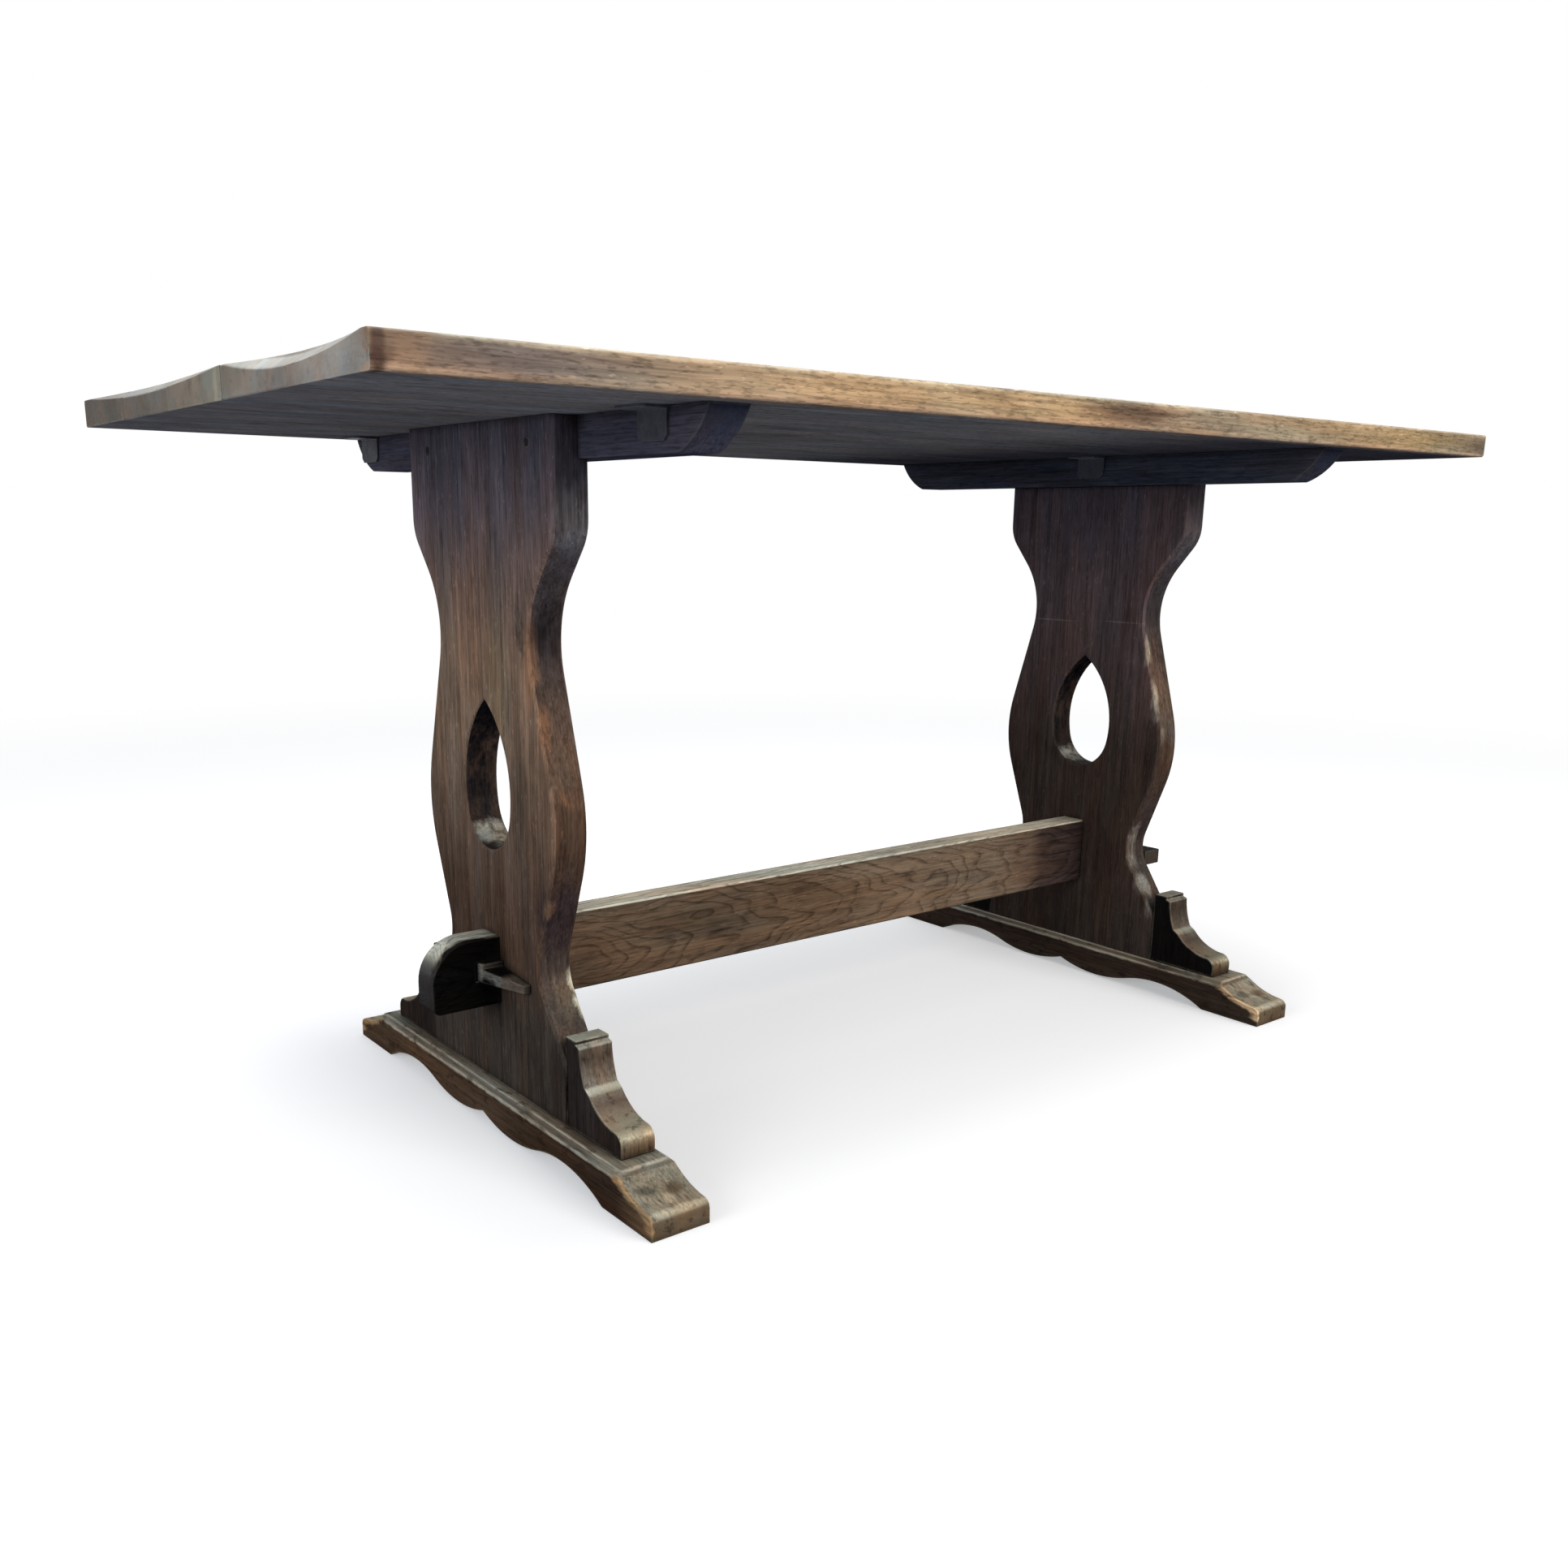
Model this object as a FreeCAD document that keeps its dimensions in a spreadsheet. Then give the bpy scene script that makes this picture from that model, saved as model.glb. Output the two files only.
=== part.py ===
import FreeCAD, Part
import math
import os
from collections import namedtuple

import Sketcher

# Oak refectory table: a planked top on two pierced end slabs with sledge feet,
# held together by one stretcher whose long tenons are locked by loose keys.
# Millimetres. X runs along the table, Y across it, Z up, and the origin lies on
# the floor under the middle of the top. "Left" is -X and "front" is -Y.

PLANKS = 5

# Screws, dowels and the holes they fill are small and many, so they are drawn with
# a few flat sides in place of a round one
SMALL_ROUND_SIDES = 8

# Two coordinates that differ by less than this are the same
ROUNDING = 1e-6

SIZES = {
    # Top
    "table_length": 1520,
    "table_width": 760,
    "table_height": 760,
    "top_thickness": 27.5,
    "top_arris": 3,
    "tongue_thickness": 7,
    "tongue_width": 24,
    "tongue_stop": 60,
    "joint_clearance": 0.1,
    "scoop_reach": 16,
    "scoop_depth": 12,
    # End slabs, with the half widths of their corners
    "trestle_offset": 475,
    "slab_thickness": 39,
    "slab_width": 303,
    "waist_half": 86,
    "belly_half": 146,
    "neck_half": 93,
    "flare_rise": 62,
    "shoulder_radius": 45,
    "waist_radius": 100,
    "belly_radius": 160,
    "neck_radius": 50,
    "slab_arris": 3,
    "drop_above": 94,
    "drop_below": 63,
    "drop_half": 49.5,
    "drop_arris": 2,
    "slab_tenon_thickness": 14,
    "slab_tenon_width": 70,
    "slab_tenon_depth": 27,
    "slab_tenon_offset": 70,
    # Sledge feet
    "foot_length": 664,
    "foot_width": 66,
    "foot_set_out": 5,
    "foot_height": 46,
    "foot_arris": 6,
    "toe_flat": 61,
    "toe_step": 5,
    "toe_nose": 24,
    "toe_round": 9,
    "toe_hollow": 3.5,
    "pad_length": 86,
    "hollow_span": 129,
    "hollow_rise": 13,
    "lobe_height": 10,
    "lobe_drop": 9,
    "cusp_height": 13,
    # Ogee brackets beside the slabs, measured from the slab's edge and the foot's top
    "bracket_length": 102,
    "bracket_height": 96,
    "bracket_nose": 12,
    "bracket_brow": 25,
    "bracket_brow_length": 14,
    "bracket_brow_round": 4,
    "bracket_ledge_height": 47,
    "bracket_ledge_length": 43,
    "bracket_sweep": 5,
    "bracket_face_height": 52,
    "bracket_face_length": 35,
    "bracket_face_hollow": 2,
    "bracket_cap_height": 90,
    "bracket_cap_length": 26,
    "bracket_cap_step": 6,
    "bracket_arris": 1.5,
    "dowel_diameter": 8,
    "dowel_length": 44,
    "dowel_rise": 24,
    # Bearers under the top
    "bearer_length": 710,
    "bearer_thickness": 42,
    "bearer_height": 38,
    "bearer_run_in": 44,
    "bearer_bulge": 5.5,
    "housing_depth": 12,
    "bearer_screw_spread": 210,
    "bearer_screw_drop": 23,
    "bearer_screw_length": 45,
    "bearer_screw_diameter": 5,
    "bearer_screw_head": 9,
    "plug_diameter": 11,
    "plug_depth": 6,
    # Stretcher with a long tenon at each end
    "stretcher_height": 90,
    "stretcher_top": 225,
    "stretcher_thickness": 36,
    "stretcher_arris": 2,
    "tenon_shoulder_top": 12,
    "tenon_shoulder_bottom": 4,
    "tenon_reach": 78,
    "tenon_crown_radius": 45,
    "tenon_heel_radius": 8,
    "key_mortise_length": 29,
    "key_mortise_height": 21,
    "key_mortise_drop": 47,
    "key_mortise_inset": 3,
    # Loose keys through the tenons
    "key_clearance": 0.3,
    "key_taper": 3,
    "left_key_butt_reach": 60,
    "right_key_butt_reach": 84,
    "key_body_reach": 8,
    "key_tail_reach": 66,
    "key_tail_height": 15,
    "key_tip_height": 9,
    "key_tip_thickness": 8,
    # Steel angle plates and their screws
    "plate_thickness": 2.5,
    "plate_leaf": 28,
    "plate_width": 44,
    "plate_front_offset": 276,
    "plate_back_offset": 314,
    "plate_middle_offset": 14,
    "plate_corner": 5,
    "plate_screw_spread": 25,
    "plate_screw_drop": 17,
    "plate_screw_length": 16,
    "plate_screw_diameter": 3.6,
    "plate_screw_head": 7.4,
    "overrun": 2,
}

# Levels on the end slab, as shares of its height between the foot and the top; the
# drop's level is that of its widest place
SLAB_SHARES = {
    "neck": 0.2125,
    "belly": 0.427,
    "drop": 0.4687,
    "waist": 0.7278,
    "shoulder": 0.8443,
}

# The scoops cut in the top's end arrises: middle and half length as shares of the
# table's width, depth as a share of the deepest scoop
SCOOP_SHARES = (
    (-0.298, 0.188, 1.0),
    (0.187, 0.283, 0.62),
)

LEFT, RIGHT = -1, 1
FRONT, BACK = -1, 1
SIDES = (("left", LEFT), ("right", RIGHT))
ENDS = (("front", FRONT), ("back", BACK))
CLOCKWISE, ANTICLOCKWISE = -1, 1
Corner = namedtuple("Corner", "across up radius turn")


class Size:
    """A length that keeps its value together with the formula that gives it."""

    def __init__(self, value, formula):
        self.value = value
        self.formula = formula

    def __add__(self, other):
        other = as_size(other)
        return Size(self.value + other.value, f"({self.formula} + {other.formula})")

    def __sub__(self, other):
        other = as_size(other)
        return Size(self.value - other.value, f"({self.formula} - {other.formula})")

    def __mul__(self, other):
        other = as_size(other)
        return Size(self.value * other.value, f"({self.formula} * {other.formula})")

    def __truediv__(self, other):
        other = as_size(other)
        return Size(self.value / other.value, f"({self.formula} / {other.formula})")

    def __neg__(self):
        return Size(-self.value, f"(0 - {self.formula})")

    __radd__ = __add__
    __rmul__ = __mul__

    def root(self):
        return Size(math.sqrt(self.value), f"sqrt({self.formula})")


def as_size(number):
    if isinstance(number, Size):
        return number
    return Size(number, f"{number}")


def is_zero(number):
    return not isinstance(number, Size) and number == 0


doc = FreeCAD.newDocument("refectory_table")
sheet = doc.addObject("Spreadsheet::Sheet", "Sizes")
for row, (name, number) in enumerate(SIZES.items(), start=1):
    sheet.set(f"A{row}", name)
    sheet.set(f"B{row}", f"{number}")
    sheet.setAlias(f"B{row}", name)
doc.recompute()


def size(name):
    """The driving dimension that the sheet holds under this name."""
    return Size(float(sheet.get(name)), f"Sizes.{name}")


# Places that several pieces share
top_underside = size("table_height") - size("top_thickness")
plank_width = size("table_width") / PLANKS
slab_half = size("slab_width") / 2
slab_face = size("slab_thickness") / 2
foot_top = size("foot_height")
slab_height = top_underside - foot_top
flare_height = foot_top + size("flare_rise")
bearer_shift = slab_face - size("housing_depth") + size("bearer_thickness") / 2
bearer_outer = size("trestle_offset") - slab_face + size("housing_depth")
bearer_inner = bearer_outer - size("bearer_thickness")
bearer_bottom = top_underside - size("bearer_height")
slab_outer = size("trestle_offset") + slab_face
slab_inner = size("trestle_offset") - slab_face
tenon_top = size("stretcher_top") - size("tenon_shoulder_top")
tenon_bottom = size("stretcher_top") - size("stretcher_height") + size("tenon_shoulder_bottom")
key_mortise_middle = size("stretcher_top") - size("key_mortise_drop")
bearer_head_depth = (size("bearer_screw_head") - size("bearer_screw_diameter")) / 2
screw_seat_depth = size("plug_depth") + bearer_head_depth

pieces = []


def bind(thing, name, length):
    thing.setExpression(name, as_size(length).formula)


def keep(thing, label):
    """Gives a finished piece its name and puts it in the list of pieces."""
    thing.Label = label
    pieces.append(thing)
    return thing


def put(thing, x=0, y=0, z=0, axis="z", degrees=0):
    """Places a piece, turned about one axis, with its position bound to the sheet."""
    axes = {
        "x": FreeCAD.Vector(1, 0, 0),
        "y": FreeCAD.Vector(0, 1, 0),
        "z": FreeCAD.Vector(0, 0, 1),
    }
    thing.Placement = FreeCAD.Placement(FreeCAD.Vector(), FreeCAD.Rotation(axes[axis], degrees))
    for direction, length in zip("xyz", (x, y, z)):
        if not is_zero(length):
            bind(thing, f"Placement.Base.{direction}", length)
    return thing


# Sketches

def sketch_on(body, role, name, offset=0):
    """A sketch on one of the body's own origin planes, or at an offset from it."""
    sketch = body.newObject("Sketcher::SketchObject", name)
    plane = [feature for feature in body.Origin.OriginFeatures if feature.Role == role][0]
    sketch.AttachmentSupport = [(plane, "")]
    sketch.MapMode = "FlatFace"
    if not is_zero(offset):
        bind(sketch, "AttachmentOffset.Base.z", offset)
    return sketch


def line_to(across, up):
    return Corner(across, up, None, None)


def arc_to(across, up, radius, turn):
    return Corner(across, up, radius, turn)


def bulge_to(start, across, up, bulge, turn):
    """An arc from a corner to the next one that stands out from its chord by the bulge."""
    run = as_size(across) - start.across
    rise = as_size(up) - start.up
    radius = ((run * run + rise * rise) / 4 + bulge * bulge) / (bulge * 2)
    return Corner(across, up, radius, turn)


def arc_curve(start, finish, radius, turn):
    """The shorter arc between two points, turning the way that is asked for."""
    chord = finish - start
    middle = (start + finish) * (1 / 2)
    reach = math.sqrt(max(radius * radius - chord.Length ** 2 / 4, 0))
    sideways = FreeCAD.Vector(-chord.y, chord.x, 0).normalize()
    centre = middle + sideways * reach * turn
    first, last = (start, finish) if turn == ANTICLOCKWISE else (finish, start)
    begin = math.atan2(first.y - centre.y, first.x - centre.x)
    end = math.atan2(last.y - centre.y, last.x - centre.x)
    circle = Part.Circle(centre, FreeCAD.Vector(0, 0, 1), radius)
    return Part.ArcOfCircle(circle, begin, end)


def fix(sketch, kind, axis, curve, point, length, name):
    """Ties one coordinate of a point to its formula, or to the axis where it is zero."""
    if is_zero(length):
        sketch.addConstraint(Sketcher.Constraint("PointOnObject", curve, point, axis))
        return
    number = sketch.addConstraint(Sketcher.Constraint(kind, -1, 1, curve, point, length.value))
    sketch.renameConstraint(number, name)
    bind(sketch, f"Constraints.{name}", length)


def outline(sketch, corners):
    """Draws a closed outline, every corner and radius tied to the sheet."""
    first = sketch.GeometryCount
    ends = []
    for index, corner in enumerate(corners):
        before = corners[index - 1]
        start = FreeCAD.Vector(as_size(before.across).value, as_size(before.up).value, 0)
        finish = FreeCAD.Vector(as_size(corner.across).value, as_size(corner.up).value, 0)
        curve = first + index
        if corner.radius is None:
            sketch.addGeometry(Part.LineSegment(start, finish))
            ends.append((1, 2))
            continue
        sketch.addGeometry(arc_curve(start, finish, corner.radius.value, corner.turn))
        number = sketch.addConstraint(Sketcher.Constraint("Radius", curve, corner.radius.value))
        sketch.renameConstraint(number, f"radius_{curve}")
        bind(sketch, f"Constraints.radius_{curve}", corner.radius)
        ends.append((1, 2) if corner.turn == ANTICLOCKWISE else (2, 1))
    for index, corner in enumerate(corners):
        curve = first + index
        after = (index + 1) % len(corners)
        sketch.addConstraint(
            Sketcher.Constraint("Coincident", curve, ends[index][1], first + after, ends[after][0]))
        fix(sketch, "DistanceX", -2, curve, ends[index][1], corner.across, f"across_{curve}")
        fix(sketch, "DistanceY", -1, curve, ends[index][1], corner.up, f"up_{curve}")
    return sketch


def mirrored(half):
    """Completes an outline whose right half is given, from its lowest to its highest corner."""
    full = list(half)
    if not is_zero(half[-1].across):
        full.append(line_to(-half[-1].across, half[-1].up))
    for index in range(len(half) - 1, 0, -1):
        corner = half[index - 1]
        if index == 1 and is_zero(corner.across):
            full[0] = Corner(corner.across, corner.up, half[1].radius, half[1].turn)
            continue
        full.append(Corner(-as_size(corner.across), corner.up, half[index].radius, half[index].turn))
    return full


def rectangle(left, right, bottom, top):
    return [line_to(left, bottom), line_to(right, bottom), line_to(right, top), line_to(left, top)]


def small_round(sketch, across, up, diameter):
    """The few-sided outline of a hole for a screw or a dowel."""
    turns = [math.tau * number / SMALL_ROUND_SIDES for number in range(SMALL_ROUND_SIDES)]
    outline(sketch, [
        line_to(as_size(across) + diameter / 2 * math.cos(turn), as_size(up) + diameter / 2 * math.sin(turn))
        for turn in turns])


def circle(sketch, across, up, diameter):
    """A circle whose centre and diameter are tied to the sheet."""
    centre = FreeCAD.Vector(as_size(across).value, as_size(up).value, 0)
    curve = sketch.addGeometry(Part.Circle(centre, FreeCAD.Vector(0, 0, 1), diameter.value / 2))
    number = sketch.addConstraint(Sketcher.Constraint("Diameter", curve, diameter.value))
    sketch.renameConstraint(number, f"diameter_{curve}")
    bind(sketch, f"Constraints.diameter_{curve}", diameter)
    fix(sketch, "DistanceX", -2, curve, 3, across, f"across_{curve}")
    fix(sketch, "DistanceY", -1, curve, 3, up, f"up_{curve}")


# Solid features

def new_body(name):
    return doc.addObject("PartDesign::Body", name)


def pad(body, sketch, name, length, both_ways=True, reverse=False):
    feature = body.newObject("PartDesign::Pad", name)
    feature.Profile = sketch
    feature.SideType = "Symmetric" if both_ways else "One side"
    feature.Reversed = reverse
    bind(feature, "Length", length)
    doc.recompute()
    return feature


def pocket(body, sketch, name, length, both_ways=False, reverse=False):
    """Cuts the sketch away and stops if that took nothing off."""
    before = body.Shape.Volume
    feature = body.newObject("PartDesign::Pocket", name)
    feature.Profile = sketch
    feature.SideType = "Symmetric" if both_ways else "One side"
    feature.Reversed = reverse
    bind(feature, "Length", length)
    doc.recompute()
    if not body.Shape.Volume < before:
        raise ValueError(f"{name} cuts nothing")
    return feature


def edge_names(shape, wanted):
    """Names of the edges that the test picks."""
    return [f"Edge{number}" for number, edge in enumerate(shape.Edges, start=1) if wanted(edge)]


def soften(body, kind, name, wanted, length):
    """A Fillet or a Chamfer on the edges of the body's last feature that the test picks."""
    base = body.Tip
    names = edge_names(base.Shape, wanted)
    if not names:
        raise ValueError(f"{name} finds no edge")
    feature = body.newObject(f"PartDesign::{kind}", name)
    feature.Base = (base, names)
    bind(feature, "Radius" if kind == "Fillet" else "Size", length)
    doc.recompute()
    if "Invalid" in feature.State:
        raise ValueError(f"{name} failed")
    return feature


def near(one, other):
    """True where two coordinates are the same but for rounding."""
    return math.isclose(one, other, rel_tol=ROUNDING, abs_tol=ROUNDING)


def runs_along_x(edge):
    start, finish = edge.Vertexes[0].Point, edge.Vertexes[-1].Point
    return near(start.y, finish.y) and near(start.z, finish.z) and not near(start.x, finish.x)


def round_corner(body, name, half, height, radius):
    """Rounds the two edges through the thickness that stand at this half width and height."""
    def wanted(edge):
        place = edge.Vertexes[0].Point
        return runs_along_x(edge) and near(abs(place.y), half.value) and near(place.z, height.value)
    return soften(body, "Fillet", name, wanted, radius)


# Where the angle plates stand

Plate = namedtuple("Plate", "word plane across outward")


def plates(side):
    """The angle plates of one bearer: two on its outer face and one on its inner face.

    Each has the plane of the face it stands on, its place across the table and the
    way its level leaf points.
    """
    return (
        Plate("front", bearer_outer * side, -size("plate_front_offset"), side),
        Plate("back", bearer_outer * side, size("plate_back_offset"), side),
        Plate("middle", bearer_inner * side, -size("plate_middle_offset"), -side),
    )


def small_rod(name, diameter, length):
    """A few-sided rod that stands on the origin."""
    rod = doc.addObject("Part::Prism", name)
    rod.Polygon = SMALL_ROUND_SIDES
    bind(rod, "Circumradius", diameter / 2)
    bind(rod, "Height", length)
    return rod


# Top

def scoop_tools():
    """Cylinders that scoop the upper arris at both ends of the top, as by long wear."""
    slope = (size("scoop_reach") * size("scoop_reach") + size("scoop_depth") * size("scoop_depth")).root()
    lean = math.degrees(math.atan2(size("scoop_reach").value, size("scoop_depth").value))
    tools = []
    for side_name, side in SIDES:
        for number, (middle_share, half_share, depth_share) in enumerate(SCOOP_SHARES, start=1):
            half = size("table_width") * half_share
            depth = size("scoop_reach") * size("scoop_depth") / slope * depth_share
            radius = (half * half + depth * depth) / (depth * 2)
            rise = radius - depth
            tool = doc.addObject("Part::Cylinder", f"scoop_{side_name}_{number}")
            bind(tool, "Radius", radius)
            bind(tool, "Height", size("top_thickness") * 4)
            back_off = size("top_thickness") * 2
            put(tool,
                (size("table_length") / 2
                 + rise * size("scoop_depth") / slope
                 + back_off * size("scoop_reach") / slope) * side,
                size("table_width") * middle_share,
                size("table_height")
                + rise * size("scoop_reach") / slope
                - back_off * size("scoop_depth") / slope,
                "y", -side * lean)
            tools.append(tool)
    return tools


def pilot_holes():
    """Holes in the underside of the top for the angle plates' screws."""
    holes = []
    for side_name, side in SIDES:
        for plate in plates(side):
            for end_name, end in ENDS:
                hole = small_rod(f"pilot_{side_name}_{plate.word}_{end_name}",
                                 size("plate_screw_diameter") + size("joint_clearance"),
                                 size("plate_screw_length") + size("joint_clearance"))
                put(hole,
                    plate.plane + size("plate_screw_drop") * plate.outward,
                    plate.across + size("plate_screw_spread") / 2 * end,
                    top_underside - size("plate_thickness"))
                holes.append(hole)
    return holes


def cut_away(piece, name, tools):
    """Takes every tool's shape out of a piece."""
    cut = doc.addObject("Part::Cut", name)
    cut.Base = piece
    cut.Tool = tools
    return cut


def groove(body, name, edge, direction):
    """Stopped groove for half a tongue, in one long edge of a plank."""
    middle = size("table_height") - size("top_thickness") / 2
    half = size("tongue_thickness") / 2 + size("joint_clearance")
    depth = size("tongue_width") / 2 + size("joint_clearance")
    inner = edge - depth * direction
    outer = edge + size("overrun") * direction
    left, right = (inner, outer) if direction > 0 else (outer, inner)
    sketch = sketch_on(body, "YZ_Plane", f"{name}_section")
    outline(sketch, rectangle(left, right, middle - half, middle + half))
    length = size("table_length") - size("tongue_stop") * 2 + size("joint_clearance") * 2
    pocket(body, sketch, name, length, both_ways=True)


def top_plank(number, tools):
    """One plank of the top, grooved for its tongues, with scooped ends."""
    front = plank_width * (number - 1) - size("table_width") / 2
    back = front + plank_width
    body = new_body(f"plank_body_{number}")
    section = sketch_on(body, "YZ_Plane", f"plank_section_{number}")
    outline(section, rectangle(front, back, top_underside, size("table_height")))
    pad(body, section, f"plank_pad_{number}", size("table_length"))
    outer_edge = {1: front, PLANKS: back}.get(number)
    if outer_edge is not None:
        soften(body, "Fillet", f"plank_arris_{number}",
               lambda edge: runs_along_x(edge) and near(edge.Vertexes[0].Point.y, outer_edge.value),
               size("top_arris"))
    if number > 1:
        groove(body, f"front_groove_{number}", front, FRONT)
    if number < PLANKS:
        groove(body, f"back_groove_{number}", back, BACK)
    keep(cut_away(body, f"scooped_plank_{number}", tools), f"top_plank_{number}")


def plank_tongue(number, tools):
    """Loose tongue glued between two planks, stopped short of the table's ends."""
    tongue = doc.addObject("Part::Box", f"tongue_{number}")
    length = size("table_length") - size("tongue_stop") * 2
    bind(tongue, "Length", length)
    bind(tongue, "Width", size("tongue_width"))
    bind(tongue, "Height", size("tongue_thickness"))
    put(tongue,
        -(length / 2),
        plank_width * number - size("table_width") / 2 - size("tongue_width") / 2,
        size("table_height") - size("top_thickness") / 2 - size("tongue_thickness") / 2)
    keep(cut_away(tongue, f"drilled_tongue_{number}", tools), f"plank_tongue_{number}")


# End slabs

def slab_level(name):
    """Height above the floor of a named level of the slab's outline."""
    return foot_top + slab_height * SLAB_SHARES[name]


def drop_outline():
    """Teardrop: two long arcs from the tip that run smoothly into a round bottom."""
    half = size("drop_half")
    above = size("drop_above")
    below = size("drop_below")
    widest = slab_level("drop")
    reach = (above * above - half * half) / (half * 2)
    side_radius = reach + half
    bottom_radius = (side_radius * side_radius - reach * reach - below * below) / (side_radius - below) / 2
    fall = below - bottom_radius
    ratio = side_radius / (side_radius - bottom_radius)
    join_across = reach * ratio - reach
    join_up = widest - fall * ratio
    return [
        arc_to(0, widest + above, side_radius, ANTICLOCKWISE),
        arc_to(-join_across, join_up, side_radius, ANTICLOCKWISE),
        arc_to(join_across, join_up, bottom_radius, ANTICLOCKWISE),
    ]


def slab_mortises(body, label):
    """Everything cut through or into a slab, apart from its edges."""
    clearance = size("joint_clearance")
    hole = sketch_on(body, "YZ_Plane", f"{label}_drop")
    outline(hole, drop_outline())
    pocket(body, hole, f"{label}_drop_cut", size("slab_thickness") + size("overrun"), both_ways=True)

    def on_drop(edge):
        """Edges of both faces round the teardrop."""
        middle = edge.valueAt((edge.FirstParameter + edge.LastParameter) / 2)
        rise = middle.z - slab_level("drop").value
        return (near(abs(middle.x), slab_face.value)
                and abs(middle.y) < size("drop_half").value
                and -size("drop_below").value - ROUNDING < rise < size("drop_above").value)
    soften(body, "Chamfer", f"{label}_drop_edge", on_drop, size("drop_arris"))

    mortise = sketch_on(body, "YZ_Plane", f"{label}_mortise")
    half = size("stretcher_thickness") / 2 + clearance
    outline(mortise, rectangle(-half, half, tenon_bottom - clearance, tenon_top + clearance))
    pocket(body, mortise, f"{label}_mortise_cut", size("slab_thickness") + size("overrun"), both_ways=True)

    housing = sketch_on(body, "YZ_Plane", f"{label}_housing", slab_face)
    wide = slab_half + size("overrun")
    outline(housing, rectangle(-wide, wide, bearer_bottom, top_underside + size("overrun")))
    pocket(body, housing, f"{label}_housing_cut", size("housing_depth"))

    for word, diameter, depth, draw in (
            ("plug", size("plug_diameter") + clearance, screw_seat_depth, circle),
            ("shank", size("bearer_screw_diameter") + clearance, size("slab_thickness"), small_round)):
        holes = sketch_on(body, "YZ_Plane", f"{label}_{word}_holes", -slab_face)
        for end_name, end in ENDS:
            draw(holes, size("bearer_screw_spread") / 2 * end, top_underside - size("bearer_screw_drop"),
                 diameter)
        pocket(body, holes, f"{label}_{word}_cut", depth, reverse=True)

    for end_name, end in ENDS:
        dowels = sketch_on(body, "XZ_Plane", f"{label}_{end_name}_dowel", -(slab_half * end))
        small_round(dowels, 0, foot_top + size("dowel_rise"), size("dowel_diameter") + clearance)
        pocket(body, dowels, f"{label}_{end_name}_dowel_cut",
               size("dowel_length") / 2 + clearance, reverse=end == BACK)


def end_slab(side_name, side):
    """Vase-shaped end slab with a teardrop, tenoned into the foot and housing the bearer."""
    label = f"end_slab_{side_name}"
    body = new_body(f"{label}_body")
    face = sketch_on(body, "YZ_Plane", f"{label}_face")
    corners = [
        line_to(slab_half, foot_top),
        line_to(slab_half, flare_height),
        line_to(size("neck_half"), slab_level("neck")),
        line_to(size("belly_half"), slab_level("belly")),
        line_to(size("waist_half"), slab_level("waist")),
        line_to(slab_half, slab_level("shoulder")),
        line_to(slab_half, top_underside),
    ]
    outline(face, mirrored(corners))
    pad(body, face, f"{label}_board", size("slab_thickness"))
    for word, half in (("neck", size("neck_half")), ("belly", size("belly_half")),
                       ("waist", size("waist_half")), ("shoulder", slab_half)):
        round_corner(body, f"{label}_{word}", half, slab_level(word), size(f"{word}_radius"))

    def on_outline(edge):
        """Edges of both faces along the shaped sides, above the brackets' tops."""
        middle = edge.valueAt((edge.FirstParameter + edge.LastParameter) / 2)
        return (near(abs(edge.Vertexes[0].Point.x), slab_face.value)
                and near(abs(edge.Vertexes[-1].Point.x), slab_face.value)
                and not runs_along_x(edge)
                and middle.z > flare_height.value
                and not near(middle.z, top_underside.value))
    soften(body, "Chamfer", f"{label}_worn_edge", on_outline, size("slab_arris"))

    slab_mortises(body, label)
    tenons = sketch_on(body, "YZ_Plane", f"{label}_tenons")
    for end_name, end in ENDS:
        middle = size("slab_tenon_offset") * end
        half = size("slab_tenon_width") / 2
        outline(tenons, rectangle(middle - half, middle + half, foot_top - size("slab_tenon_depth"), foot_top))
    pad(body, tenons, f"{label}_tenon_pad", size("slab_tenon_thickness"))
    put(body, size("trestle_offset") * side, degrees=0 if side == LEFT else 180)
    keep(body, label)


# Sledge feet

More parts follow.
